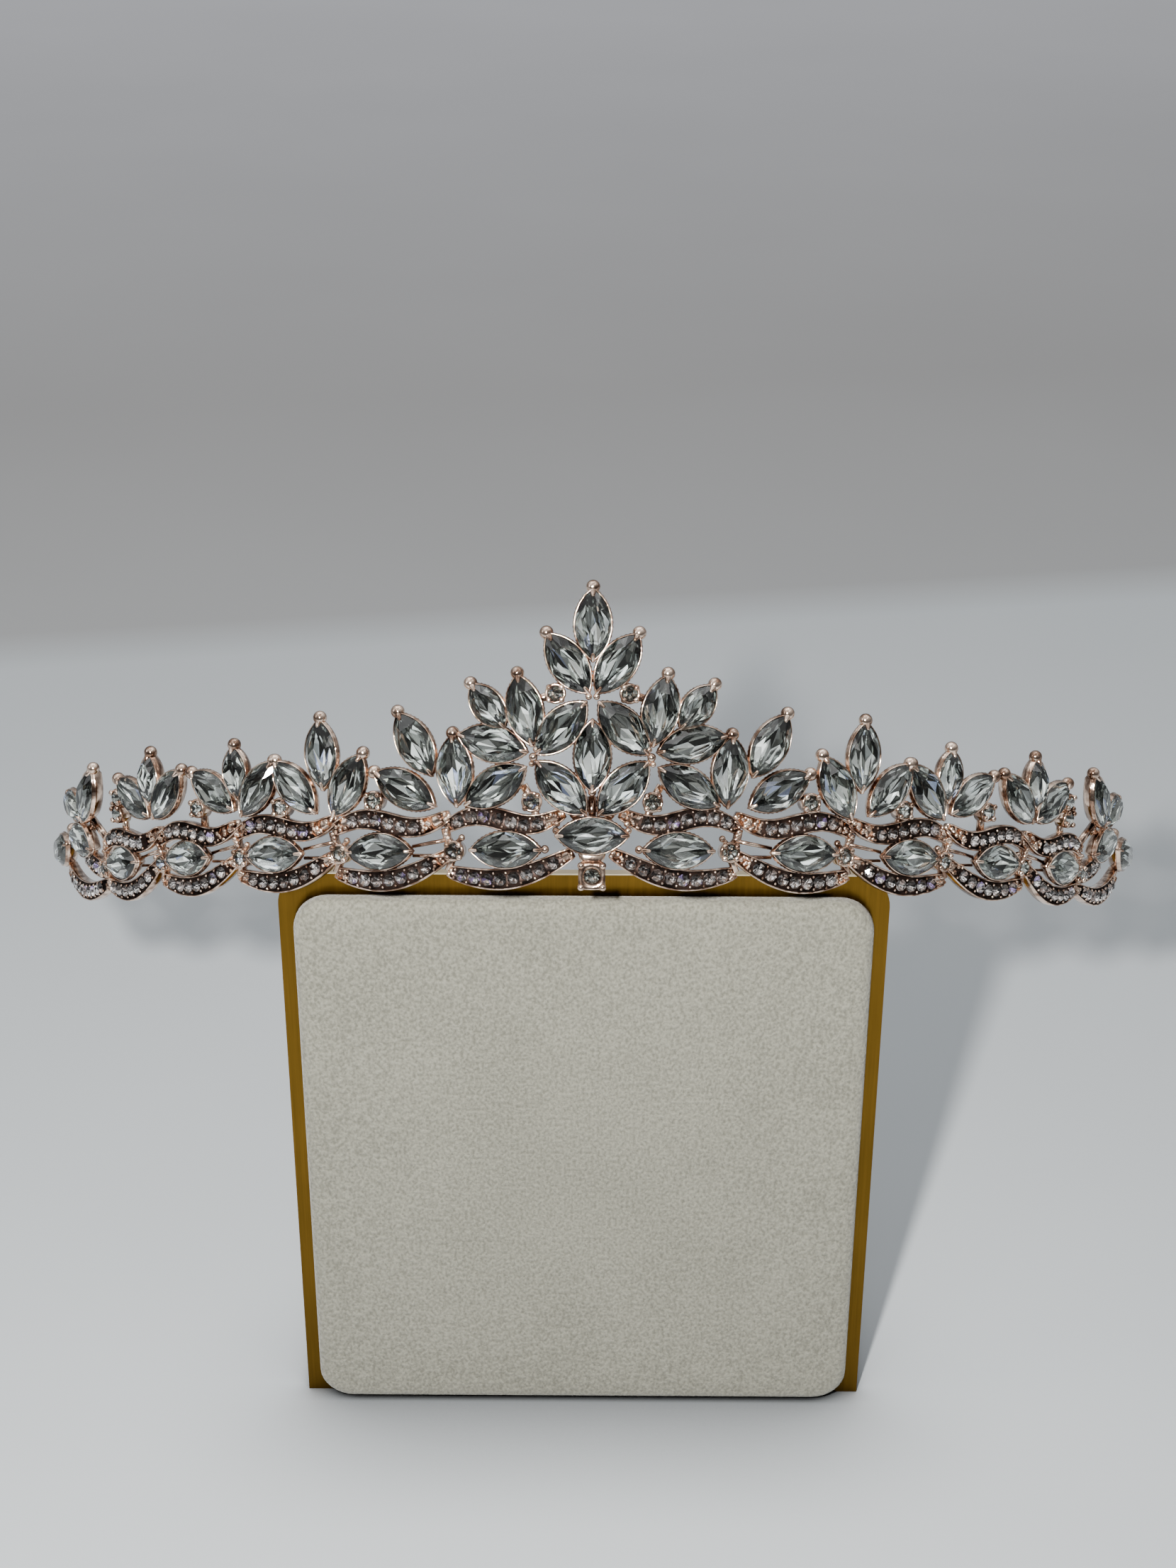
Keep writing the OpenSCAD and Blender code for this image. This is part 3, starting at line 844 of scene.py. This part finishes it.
def add_junction(build, i, side, rng):
    """The grainy piece of metal at a junction: from the upper ribbon's end to the round stone and on."""
    foot = lower_path(i, 1)
    top = upper_path(i, 1)
    s, h = junction_round(i, side)
    add_bar(build, [(side * foot[0], foot[1]), (s, h)], *FOOT_BAR)
    route = [(s, h), (side * (top[0] - 0.2), (h + top[1]) / 2), (side * top[0], top[1])]
    add_bar(build, route, *TOP_BAR)
    stub = (s - side * 0.95, h + 1.55)
    add_bar(build, [(s - side * 0.2, h + 0.9), stub], *STUB_BAR)
    add_ball(build, 0.42, (0, 0, 1.25), on_band(*stub), 8, 12)
    for k in range(4):
        u = 0.38 + 0.17 * k
        place = on_band(s + (side * top[0] - s) * u + rng.uniform(-0.15, 0.15), h + (top[1] - h) * u)
        add_ball(build, rng.uniform(0.32, 0.42), (0, 0, 1.15), place, 7, 10)


def add_twin_rails(build, i, side):
    """The two thin rails from a junction to the tip of the next row stone."""
    y = ROW_H - ROW_DROP * (i + 1)
    s0 = junction_s(i) + 0.1
    s1 = row_s(i + 1) - ROW[0] / 2
    high = [(side * s0, y + 1.3), (side * (s0 + s1) / 2, y + 0.9), (side * s1, y + 0.5)]
    low = [(side * s0, y - 0.7), (side * s1, y - 0.6)]
    add_bar(build, high, *THIN_RAIL)
    add_bar(build, low, *THIN_RAIL)


def diadem_links():
    """Collars of the round stones, wires, twin rails, junctions and single beads."""
    rng = random.Random(9)
    build = Build()
    for p in accent_places():
        add_accent(build, p)
    for side in (-1, 1):
        for a, b, c, d in WIRES:
            add_bar(build, [(side * a * UNIT, b * UNIT), (side * c * UNIT, d * UNIT)], *WIRE)
        for i in range(1, JUNCTIONS):
            add_twin_rails(build, i, side)
        for i in range(1, JUNCTIONS + 1):
            add_junction(build, i, side, rng)
        for s, h, z, radius in BEADS:
            if s or side > 0:
                add_ball(build, radius, (0, 0, z), on_band(side * s, h), 8, 12)
    piece = build.make("links", [ROSE])
    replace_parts(piece, "diadem_frame")


def square_ring(half, round_share, z):
    """A ring between a square and a circle, by the share of roundness."""
    n = 32
    ring = []
    for k in range(n):
        a = 2 * math.pi * k / n + math.pi / n
        c = math.cos(a)
        s = math.sin(a)
        square = half / max(abs(c), abs(s))
        r = square * (1 - round_share) + half * round_share
        ring.append((r * c, r * s, z))
    return ring


def add_drop_setting(build):
    """The square setting with a round seat and a prong at each corner."""
    half = DROP_W / 2
    # Half width, share of roundness and height, from the seat over the top to the back
    profile = [
        (0.88, 1, 1.45), (0.95, 1, 1.72), (1.15, 0.7, 1.78), (half - 0.12, 0.1, 1.88),
        (half, 0.08, 1.78), (half, 0.05, 0.15), (half - 0.15, 0.05, 0.02),
    ]
    place = on_band(0, DROP_H)
    add_loft(build, [square_ring(*row) for row in profile], place, caps=(False, True))
    prong_out = 1.28
    for x in (-1, 1):
        for y in (-1, 1):
            add_ball(build, 0.44, (x * prong_out, y * prong_out, 1.92), place, 8, 12)


def add_drop_bridge(build):
    """The smooth bridge above the square setting."""
    back = 0.1
    power = 0.5
    rings = []
    # Height on the band, half width, and distance out of the front
    for h, w, front in ((3.7, 1.25, 1.2), (4.1, 1.45, 1.3), (4.7, 1.65, 1.25), (5.25, 1.65, 1.05)):
        ring = []
        for x, y in circle(1, 16):
            out = back + (front - back) * (0.5 + 0.5 * squarer(y, power))
            ring.append(band_point(w * squarer(x, power), h, out))
        rings.append(ring)
    add_loft(build, rings)


def centre_drop():
    """The square setting below the middle, with its bridge."""
    build = Build()
    add_drop_setting(build)
    add_drop_bridge(build)
    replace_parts(build.make("centre_drop", [ROSE]), "diadem_frame")


def navette_stones(rng):
    """The foiled navette stones. Those of the row have lighter backs, with less painted shade."""
    build = Build()
    for s, h, lean, size, _ in crest_places() + trio_places():
        add_navette_stone(build, size, on_band(s, h, lean, NAVETTE_H), rng, SHADE)
    for s, h, lean, size, _ in row_places():
        add_navette_stone(build, size, on_band(s, h, lean, NAVETTE_H), rng, ROW_SHADE)
    piece = build.make("navette_stones", [CRYSTAL, *FOILS], False)
    names = sorted(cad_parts)
    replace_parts(piece, *[n for n in names if n.startswith(("crest_stone", "row_stone", "trio_stones"))])


def accent_stones(rng):
    """The round stones between the settings and in the square setting."""
    build = Build()
    for s, h in accent_places() + [(0, DROP_H)]:
        place = on_band(s, h, 0, SEAT_H)
        add_round_stone(build, ROUND_D, ROUND_CROWN, ROUND_DEPTH, ROUND_SIDES, place, rng)
    piece = build.make("accent_stones", [CRYSTAL, *FOILS], False)
    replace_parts(piece, "accent_stones_left", "accent_stones_right")


def pave_stones(rng):
    """The stones along the ribbons, each with a turn of its own."""
    build = Build()
    for side in (-1, 1):
        for path, i, count, centre in RUNS:
            for u in pave_places(path, i, count, centre):
                s, h = path(i, u)
                place = on_band(side * s, h, rng.uniform(0, 45), PAVE_H)
                add_round_stone(build, PAVE_D + PAVE_GROW, PAVE_CROWN, PAVE_DEPTH, PAVE_SIDES, place, rng)
    piece = build.make("pave_stones", [PAVE_CRYSTAL, *PAVE_FOILS], False)
    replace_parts(piece, "pave_stones_left", "pave_stones_right")


def diadem_stones():
    """All the stones, whose foils come from one row of random draws."""
    rng = random.Random(21)
    navette_stones(rng)
    accent_stones(rng)
    pave_stones(rng)


# Stand

# The pad's edge from its back to its face: drawn in, forward
PAD_EDGE = [
    (0.25, 0.0), (0.0, 0.35), (0.0, 1.2), (0.10, 1.75), (0.40, 2.18), (0.85, 2.40), (1.6, 2.49),
    (3.2, PAD_T),
]
# Rings of the pad's face, in shares of the last ring of its edge
PAD_FACE = (0.93, 0.85, 0.76, 0.66, 0.55, 0.44, 0.32, 0.20, 0.09)
# Steps of the pad's outline at a corner and along a side
CORNER_STEPS = 8
SIDE_STEPS = 40


def pad_outline(inset):
    """Rounded outline of the pad from the front, drawn in by the inset."""
    w = PLATE_W / 2 - PAD_SIDE - inset
    low = PAD_FOOT + inset
    high = PLATE_H - PAD_TOP - inset
    r = max(0.4, PAD_CORNER - inset * 0.6)
    centres = [(w - r, low + r), (w - r, high - r), (-w + r, high - r), (-w + r, low + r)]
    corners = []
    for k, (x, z) in enumerate(centres):
        angles = [math.radians(90 * (k - 1) + 90 * t / CORNER_STEPS) for t in range(CORNER_STEPS + 1)]
        corners.append([(x + r * math.cos(a), z + r * math.sin(a)) for a in angles])
    points = []
    for k, corner in enumerate(corners):
        points += corner
        x, z = corner[-1]
        dx = corners[(k + 1) % 4][0][0] - x
        dz = corners[(k + 1) % 4][0][1] - z
        points += [(x + dx * t / SIDE_STEPS, z + dz * t / SIDE_STEPS) for t in range(1, SIDE_STEPS)]
    return points


def suede_pad():
    """The soft pad: a thin slab with full round edges, whose face dips a little to its middle."""
    build = Build()
    outlines = [[(x, t, z) for x, z in pad_outline(inset)] for inset, t in PAD_EDGE]
    face = pad_outline(PAD_EDGE[-1][0])
    mid = (PAD_FOOT + PLATE_H - PAD_TOP) / 2
    for share in PAD_FACE:
        t = PAD_T - PAD_DIP * (1 - share)
        outlines.append([(x * share, t, mid + (z - mid) * share) for x, z in face])
    add_loft(build, [[(x - BESIDE, SHIFT_Y - CONTACT - t, z) for x, t, z in ring] for ring in outlines])
    piece = build.make("suede_pad", [SUEDE])
    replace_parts(piece, "stand_pad")


def stand_metal():
    """The CAD plate and strip keep their shape and get softened edges and brushed metal."""
    for name in ("stand_plate", "stand_strip"):
        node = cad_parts[name]
        node.data.materials.clear()
        node.data.materials.append(BRUSHED)
        bevel = node.modifiers.new("soft edges", "BEVEL")
        bevel.width = SOFT_EDGE * MM
        bevel.segments = 2
        bevel.limit_method = "ANGLE"
        bevel.angle_limit = math.radians(40)


# Materials

# Height of the pale stretch at the top of the brushed sheet
PALE_EDGE = 0.2


def new_material(name):
    material = bpy.data.materials.new(name)
    material.use_nodes = True
    nodes = material.node_tree.nodes
    links = material.node_tree.links
    return material, nodes, links, nodes["Principled BSDF"]


def put(node, values):
    """Sets inputs of a node by their names."""
    for name, value in values.items():
        node.inputs[name].default_value = value


def axis(nodes, links, space, name):
    """One coordinate of the point in a space."""
    coords = nodes.new("ShaderNodeTexCoord")
    split = nodes.new("ShaderNodeSeparateXYZ")
    links.new(coords.outputs[space], split.inputs[0])
    return split.outputs[name]


def noise(nodes, links, scale, detail=3.0, stretch=None):
    """A noise in object space, in cycles per metre, optionally stretched."""
    coords = nodes.new("ShaderNodeTexCoord")
    tex = nodes.new("ShaderNodeTexNoise")
    put(tex, {"Scale": scale, "Detail": detail})
    if stretch is None:
        links.new(coords.outputs["Object"], tex.inputs["Vector"])
    else:
        mapping = nodes.new("ShaderNodeMapping")
        put(mapping, {"Scale": stretch})
        links.new(coords.outputs["Object"], mapping.inputs["Vector"])
        links.new(mapping.outputs["Vector"], tex.inputs["Vector"])
    return tex.outputs["Fac"]


def ramp(nodes, links, value, stops):
    """Colours by value; each stop is a place and a colour."""
    node = nodes.new("ShaderNodeValToRGB")
    links.new(value, node.inputs["Fac"])
    while len(node.color_ramp.elements) < len(stops):
        node.color_ramp.elements.new(0.5)
    for element, (place, colour) in zip(node.color_ramp.elements, stops):
        element.position = place
        element.color = (*colour, 1)
    return node.outputs["Color"]


def spread(nodes, links, value, low, high, first=0.0, last=1.0):
    """Maps a value from first..last to low..high."""
    node = nodes.new("ShaderNodeMapRange")
    put(node, {"From Min": first, "From Max": last, "To Min": low, "To Max": high})
    links.new(value, node.inputs["Value"])
    return node.outputs["Result"]


def times_plus(nodes, links, value, factor, other):
    """A value times a factor, plus another value."""
    node = nodes.new("ShaderNodeMath")
    node.operation = "MULTIPLY_ADD"
    node.inputs[1].default_value = factor
    links.new(value, node.inputs[0])
    links.new(other, node.inputs[2])
    return node.outputs[0]


def scaled(nodes, links, colour, factor):
    """A colour times a value."""
    node = nodes.new("ShaderNodeVectorMath")
    node.operation = "SCALE"
    links.new(colour, node.inputs[0])
    links.new(factor, node.inputs["Scale"])
    return node.outputs["Vector"]


def bump(nodes, links, height, distance, strength):
    """A bumped normal. The distance is in metres."""
    node = nodes.new("ShaderNodeBump")
    put(node, {"Distance": distance, "Strength": strength})
    links.new(height, node.inputs["Height"])
    return node.outputs["Normal"]


def rose_metal(name, dark, light, roughness):
    """Polished plating over a casting: pinkish copper, softly uneven, a little duller in patches."""
    material, nodes, links, shader = new_material(name)
    put(shader, {"Metallic": 1.0})
    patches = noise(nodes, links, 700, 3)
    links.new(ramp(nodes, links, patches, [(0.40, dark), (0.60, light)]), shader.inputs["Base Color"])
    links.new(spread(nodes, links, patches, *roughness), shader.inputs["Roughness"])
    links.new(bump(nodes, links, noise(nodes, links, 2200, 2), 0.00004, 0.5), shader.inputs["Normal"])
    return material


def crystal(name, tint):
    """Clear glass above the foil."""
    material, nodes, links, shader = new_material(name)
    put(shader, {"Transmission Weight": 1.0, "IOR": 1.55, "Roughness": 0.0})
    flaws = noise(nodes, links, 300, 2)
    links.new(ramp(nodes, links, flaws, [(0.3, tint), (0.7, (1, 1, 1))]), shader.inputs["Base Color"])
    return material


def foil(name, colour, roughness=0.05):
    """The silvered back of a stone, slightly cloudy, in a colour given to it as painted reflection."""
    material, nodes, links, shader = new_material(name)
    put(shader, {"Metallic": 1.0, "Roughness": roughness})
    cloud = noise(nodes, links, 260, 2)
    low = tuple(0.8 * c for c in colour)
    links.new(ramp(nodes, links, cloud, [(0.35, low), (0.65, colour)]), shader.inputs["Base Color"])
    return material


def pale_top_edge(nodes, links, colour):
    """The colour, pale along the sheet's top edge."""
    on_edge = nodes.new("ShaderNodeMath")
    on_edge.operation = "GREATER_THAN"
    on_edge.inputs[1].default_value = (PLATE_H - PALE_EDGE) * MM
    links.new(axis(nodes, links, "Object", "Z"), on_edge.inputs[0])
    edge = nodes.new("ShaderNodeMix")
    edge.data_type = "RGBA"
    links.new(on_edge.outputs[0], edge.inputs["Factor"])
    links.new(colour, edge.inputs["A"])
    put(edge, {"B": (0.62, 0.52, 0.36, 1)})
    return edge.outputs["Result"]


def brushed_metal():
    """Gold-coloured sheet brushed upright, with faint streaks, duller clouds and a pale top edge."""
    material, nodes, links, shader = new_material("brushed_metal")
    put(shader, {"Metallic": 1.0})
    streaks = noise(nodes, links, 1, 4, (3000, 3000, 60))
    clouds = spread(nodes, links, noise(nodes, links, 60, 3), 0.0, 0.5)
    uneven = times_plus(nodes, links, streaks, 0.5, clouds)
    colour = ramp(nodes, links, uneven, [(0.3, (0.10, 0.055, 0.008)), (0.7, (0.165, 0.09, 0.013))])
    links.new(pale_top_edge(nodes, links, colour), shader.inputs["Base Color"])
    links.new(spread(nodes, links, streaks, 0.22, 0.42), shader.inputs["Roughness"])
    links.new(bump(nodes, links, streaks, 0.00003, 0.4), shader.inputs["Normal"])
    return material


def suede():
    """Cream suede with a fine uneven nap."""
    material, nodes, links, shader = new_material("suede")
    put(shader, {"Roughness": 0.95, "Specular IOR Level": 0.15})
    put(shader, {"Sheen Weight": 0.2, "Sheen Roughness": 0.5})
    nap = noise(nodes, links, 2600, 3, (1, 1, 0.8))
    clouds = spread(nodes, links, noise(nodes, links, 70, 4), 0.0, 0.15)
    uneven = times_plus(nodes, links, nap, 0.85, clouds)
    colour = ramp(nodes, links, uneven, [(0.34, (0.10, 0.099, 0.079)), (0.64, (0.185, 0.184, 0.149))])
    links.new(colour, shader.inputs["Base Color"])
    links.new(bump(nodes, links, nap, 0.0003, 0.8), shader.inputs["Normal"])
    return material


# Setting and light

# The floor: half its width, how far behind the middle its soft edge lies, and its turn
FLOOR_SIZE = 3000
FLOOR_EDGE = 245
FLOOR_TURN = math.radians(9.2)
# Painted contact shadow: the floor gets darker within this distance of the stand.
CONTACT_SHADOW_REACH = 25
# Tones of the floor by the distance past its soft edge: the darkening at the front end, under and behind
# the camera, is painted shade, and the rise towards the far end is painted light that makes up for the
# lamps' fading light
FLOOR_TONES_AND_PAINTED_LIGHT = [
    (-800, (0.22, 0.23, 0.235)),
    (-480, (0.35, 0.375, 0.395)),
    (-10, (0.375, 0.40, 0.42)),
    (10, (0.275, 0.28, 0.285)),
    (160, (0.28, 0.28, 0.283)),
    (900, (0.56, 0.565, 0.60)),
]


def floor_paper():
    """A matt surface with a soft edge between two stretches of tone, a painted contact shadow close to the
    stand, painted shade at its front end and painted light towards its far end.
    """
    material, nodes, links, shader = new_material("floor_paper")
    put(shader, {"Roughness": 0.9, "Specular IOR Level": 0.1})
    first = FLOOR_TONES_AND_PAINTED_LIGHT[0][0]
    last = FLOOR_TONES_AND_PAINTED_LIGHT[-1][0]
    away = spread(nodes, links, axis(nodes, links, "Object", "Y"), 0.0, 1.0, first * MM, last * MM)
    tone = ramp(nodes, links, away, [((y - first) / (last - first), colour) for y, colour in FLOOR_TONES_AND_PAINTED_LIGHT])
    clouds = spread(nodes, links, noise(nodes, links, 8, 3), 0.94, 1.04)
    # Painted contact shadow: ambient occlusion darkens the floor's colour close to the stand.
    painted_contact_shadow = nodes.new("ShaderNodeAmbientOcclusion")
    put(painted_contact_shadow, {"Distance": CONTACT_SHADOW_REACH * MM})
    shade = spread(nodes, links, painted_contact_shadow.outputs["AO"], -0.25, 1.0)
    colour = scaled(nodes, links, scaled(nodes, links, tone, clouds), shade)
    links.new(colour, shader.inputs["Base Color"])
    fibres = noise(nodes, links, 900, 4)
    links.new(bump(nodes, links, fibres, 0.00005, 0.3), shader.inputs["Normal"])
    return material


def backdrop():
    """A broad floor, turned a little."""
    x = FLOOR_SIZE * MM
    mesh = bpy.data.meshes.new("floor")
    mesh.from_pydata([(-x, -x, 0), (x, -x, 0), (x, x, 0), (-x, x, 0)], [], [[0, 1, 2, 3]])
    mesh.materials.append(floor_paper())
    thing = bpy.data.objects.new("floor", mesh)
    thing.matrix_world = Matrix.Translation((0, FLOOR_EDGE * MM, 0)) @ Matrix.Rotation(FLOOR_TURN, 4, "Z")
    bpy.context.scene.collection.objects.link(thing)


def area_light(name, at, aim, size, power, colour=(1, 1, 1), shape="RECTANGLE", height=None):
    """A flat light at a place, turned to its aim."""
    light = bpy.data.lights.new(name, "AREA")
    light.shape = shape
    light.size = size * MM
    if height is not None:
        light.size_y = height * MM
    light.energy = power
    light.color = colour
    thing = bpy.data.objects.new(name, light)
    thing.location = Vector(at) * MM
    thing.rotation_euler = (Vector(aim) - Vector(at)).to_track_quat("-Z", "Y").to_euler()
    bpy.context.scene.collection.objects.link(thing)


# The ring of small panels: how many, radius, how far its middle lies in front, height, steps, width
PANELS = 7
PANEL_RING = 450
PANEL_AHEAD = 150
PANEL_H = 720
PANEL_STEP = 60
PANEL_W = 110


def panels():
    """A ring of small lights overhead, for the sparkle of the facets."""
    for k in range(PANELS):
        turn = math.tau * (k + 0.4) / PANELS
        x = PANEL_RING * math.sin(turn)
        y = PANEL_RING * math.cos(turn) - PANEL_AHEAD
        area_light(f"panel_{k}", (x, y, PANEL_H + PANEL_STEP * (k % 3)), (0, -30, 90), PANEL_W, 0.2)


# Tones of the room from below to above, and from the front to the back
ROOM_UP = [(0.5, (0.17,) * 3), (0.68, (0.36, 0.37, 0.38)), (0.84, (0.70, 0.71, 0.72)), (0.94, (1.0,) * 3)]
ROOM_AHEAD = [(0.0, (0.45,) * 3), (0.35, (0.7,) * 3), (0.55, (1.0,) * 3)]


def room():
    """A room that is bright above, and darker below and in front."""
    world = bpy.data.worlds.new("room")
    bpy.context.scene.world = world
    world.use_nodes = True
    nodes = world.node_tree.nodes
    links = world.node_tree.links
    mix = nodes.new("ShaderNodeVectorMath")
    mix.operation = "MULTIPLY"
    for k, (name, stops) in enumerate((("Z", ROOM_UP), ("Y", ROOM_AHEAD))):
        place = spread(nodes, links, axis(nodes, links, "Generated", name), 0.0, 1.0, -1.0)
        links.new(ramp(nodes, links, place, stops), mix.inputs[k])
    links.new(mix.outputs["Vector"], nodes["Background"].inputs["Color"])
    put(nodes["Background"], {"Strength": 1.2})


def lights():
    """A small key light beside the camera, broad ones overhead and from the left, and panels."""
    area_light("key", (-35, -238, 233), (0, 0, 60), 14, 2.9, (1.0, 0.97, 0.93), "DISK")
    area_light("overhead", (-150, 250, 1200), (0, 0, 0), 800, 1.8, (0.95, 0.98, 1.0), "RECTANGLE", 600)
    area_light("window", (-1100, -300, 600), (0, 0, 60), 500, 1.6, (0.97, 0.98, 1.0), "RECTANGLE", 700)
    panels()
    room()


# The camera: focal length and width of the frame in pixels, angles and place
FOCAL = 3500
FRAME_W = 1659
SENSOR_W = 36
PITCH = math.radians(27.892)
YAW = math.radians(-0.249)
ROLL = math.radians(-0.177)
EYE = Vector((0.62, -281.09, 234.46))


def camera():
    """The photograph's viewpoint."""
    forward = Vector((math.sin(YAW) * math.cos(PITCH), math.cos(YAW) * math.cos(PITCH), -math.sin(PITCH)))
    right = Vector((math.cos(YAW), -math.sin(YAW), 0))
    down = forward.cross(right)
    across_frame = right * math.cos(ROLL) + down * math.sin(ROLL)
    down_frame = down * math.cos(ROLL) - right * math.sin(ROLL)
    data = bpy.data.cameras.new("camera")
    data.sensor_fit = "HORIZONTAL"
    data.sensor_width = SENSOR_W
    data.lens = FOCAL / FRAME_W * SENSOR_W
    data.clip_start = 0.01
    thing = bpy.data.objects.new("camera", data)
    axes = Matrix((across_frame, -down_frame, -forward)).transposed().to_4x4()
    thing.matrix_world = Matrix.Translation(EYE * MM) @ axes
    bpy.context.scene.collection.objects.link(thing)
    bpy.context.scene.camera = thing


ROSE = rose_metal("rose_metal", (0.27, 0.165, 0.115), (0.88, 0.68, 0.545), (0.06, 0.16))
# Nearly black metal for the channel floors between the pave stones: partly antique tone, partly painted
# shade of the recess.
ROSE_ANTIQUE_AND_SHADE = rose_metal("rose_metal_antique_and_shade", (0.03, 0.022, 0.02), (0.09, 0.06, 0.05), (0.35, 0.55))
CRYSTAL = crystal("crystal", (0.95, 0.98, 0.94))
# Foils of the navette and round stones, from light to dark: painted reflections, the darker ones painted
# shade, the last one painted fire.
FOILS = [
    foil("crystal_foil_mint", (0.95, 1.0, 0.98), 0.12),
    foil("crystal_foil_pale", (0.86, 0.90, 0.86)),
    foil("crystal_foil_painted_half_shade", (0.52, 0.54, 0.50)),
    foil("crystal_foil_painted_shade", (0.09, 0.09, 0.08)),
    foil("crystal_foil_painted_fire", (0.62, 0.70, 0.98), 0.1),
]
PAVE_CRYSTAL = crystal("pave_crystal", (0.97, 0.94, 0.92))
# Foils of the pave stones: painted reflections, the darker ones painted shade, the last one painted fire.
PAVE_FOILS = [
    foil("pave_foil_white", (1.0, 0.98, 0.97), 0.12),
    foil("pave_foil_pale", (0.90, 0.84, 0.80)),
    foil("pave_foil_painted_half_shade", (0.36, 0.28, 0.25)),
    foil("pave_foil_painted_shade", (0.06, 0.05, 0.045)),
    foil("pave_foil_painted_fire", (0.60, 0.45, 0.95), 0.2),
]
BRUSHED = brushed_metal()
SUEDE = suede()

camera()
lights()
backdrop()
diadem_settings()
diadem_ribbons()
diadem_links()
centre_drop()
diadem_stones()
suede_pad()
stand_metal()
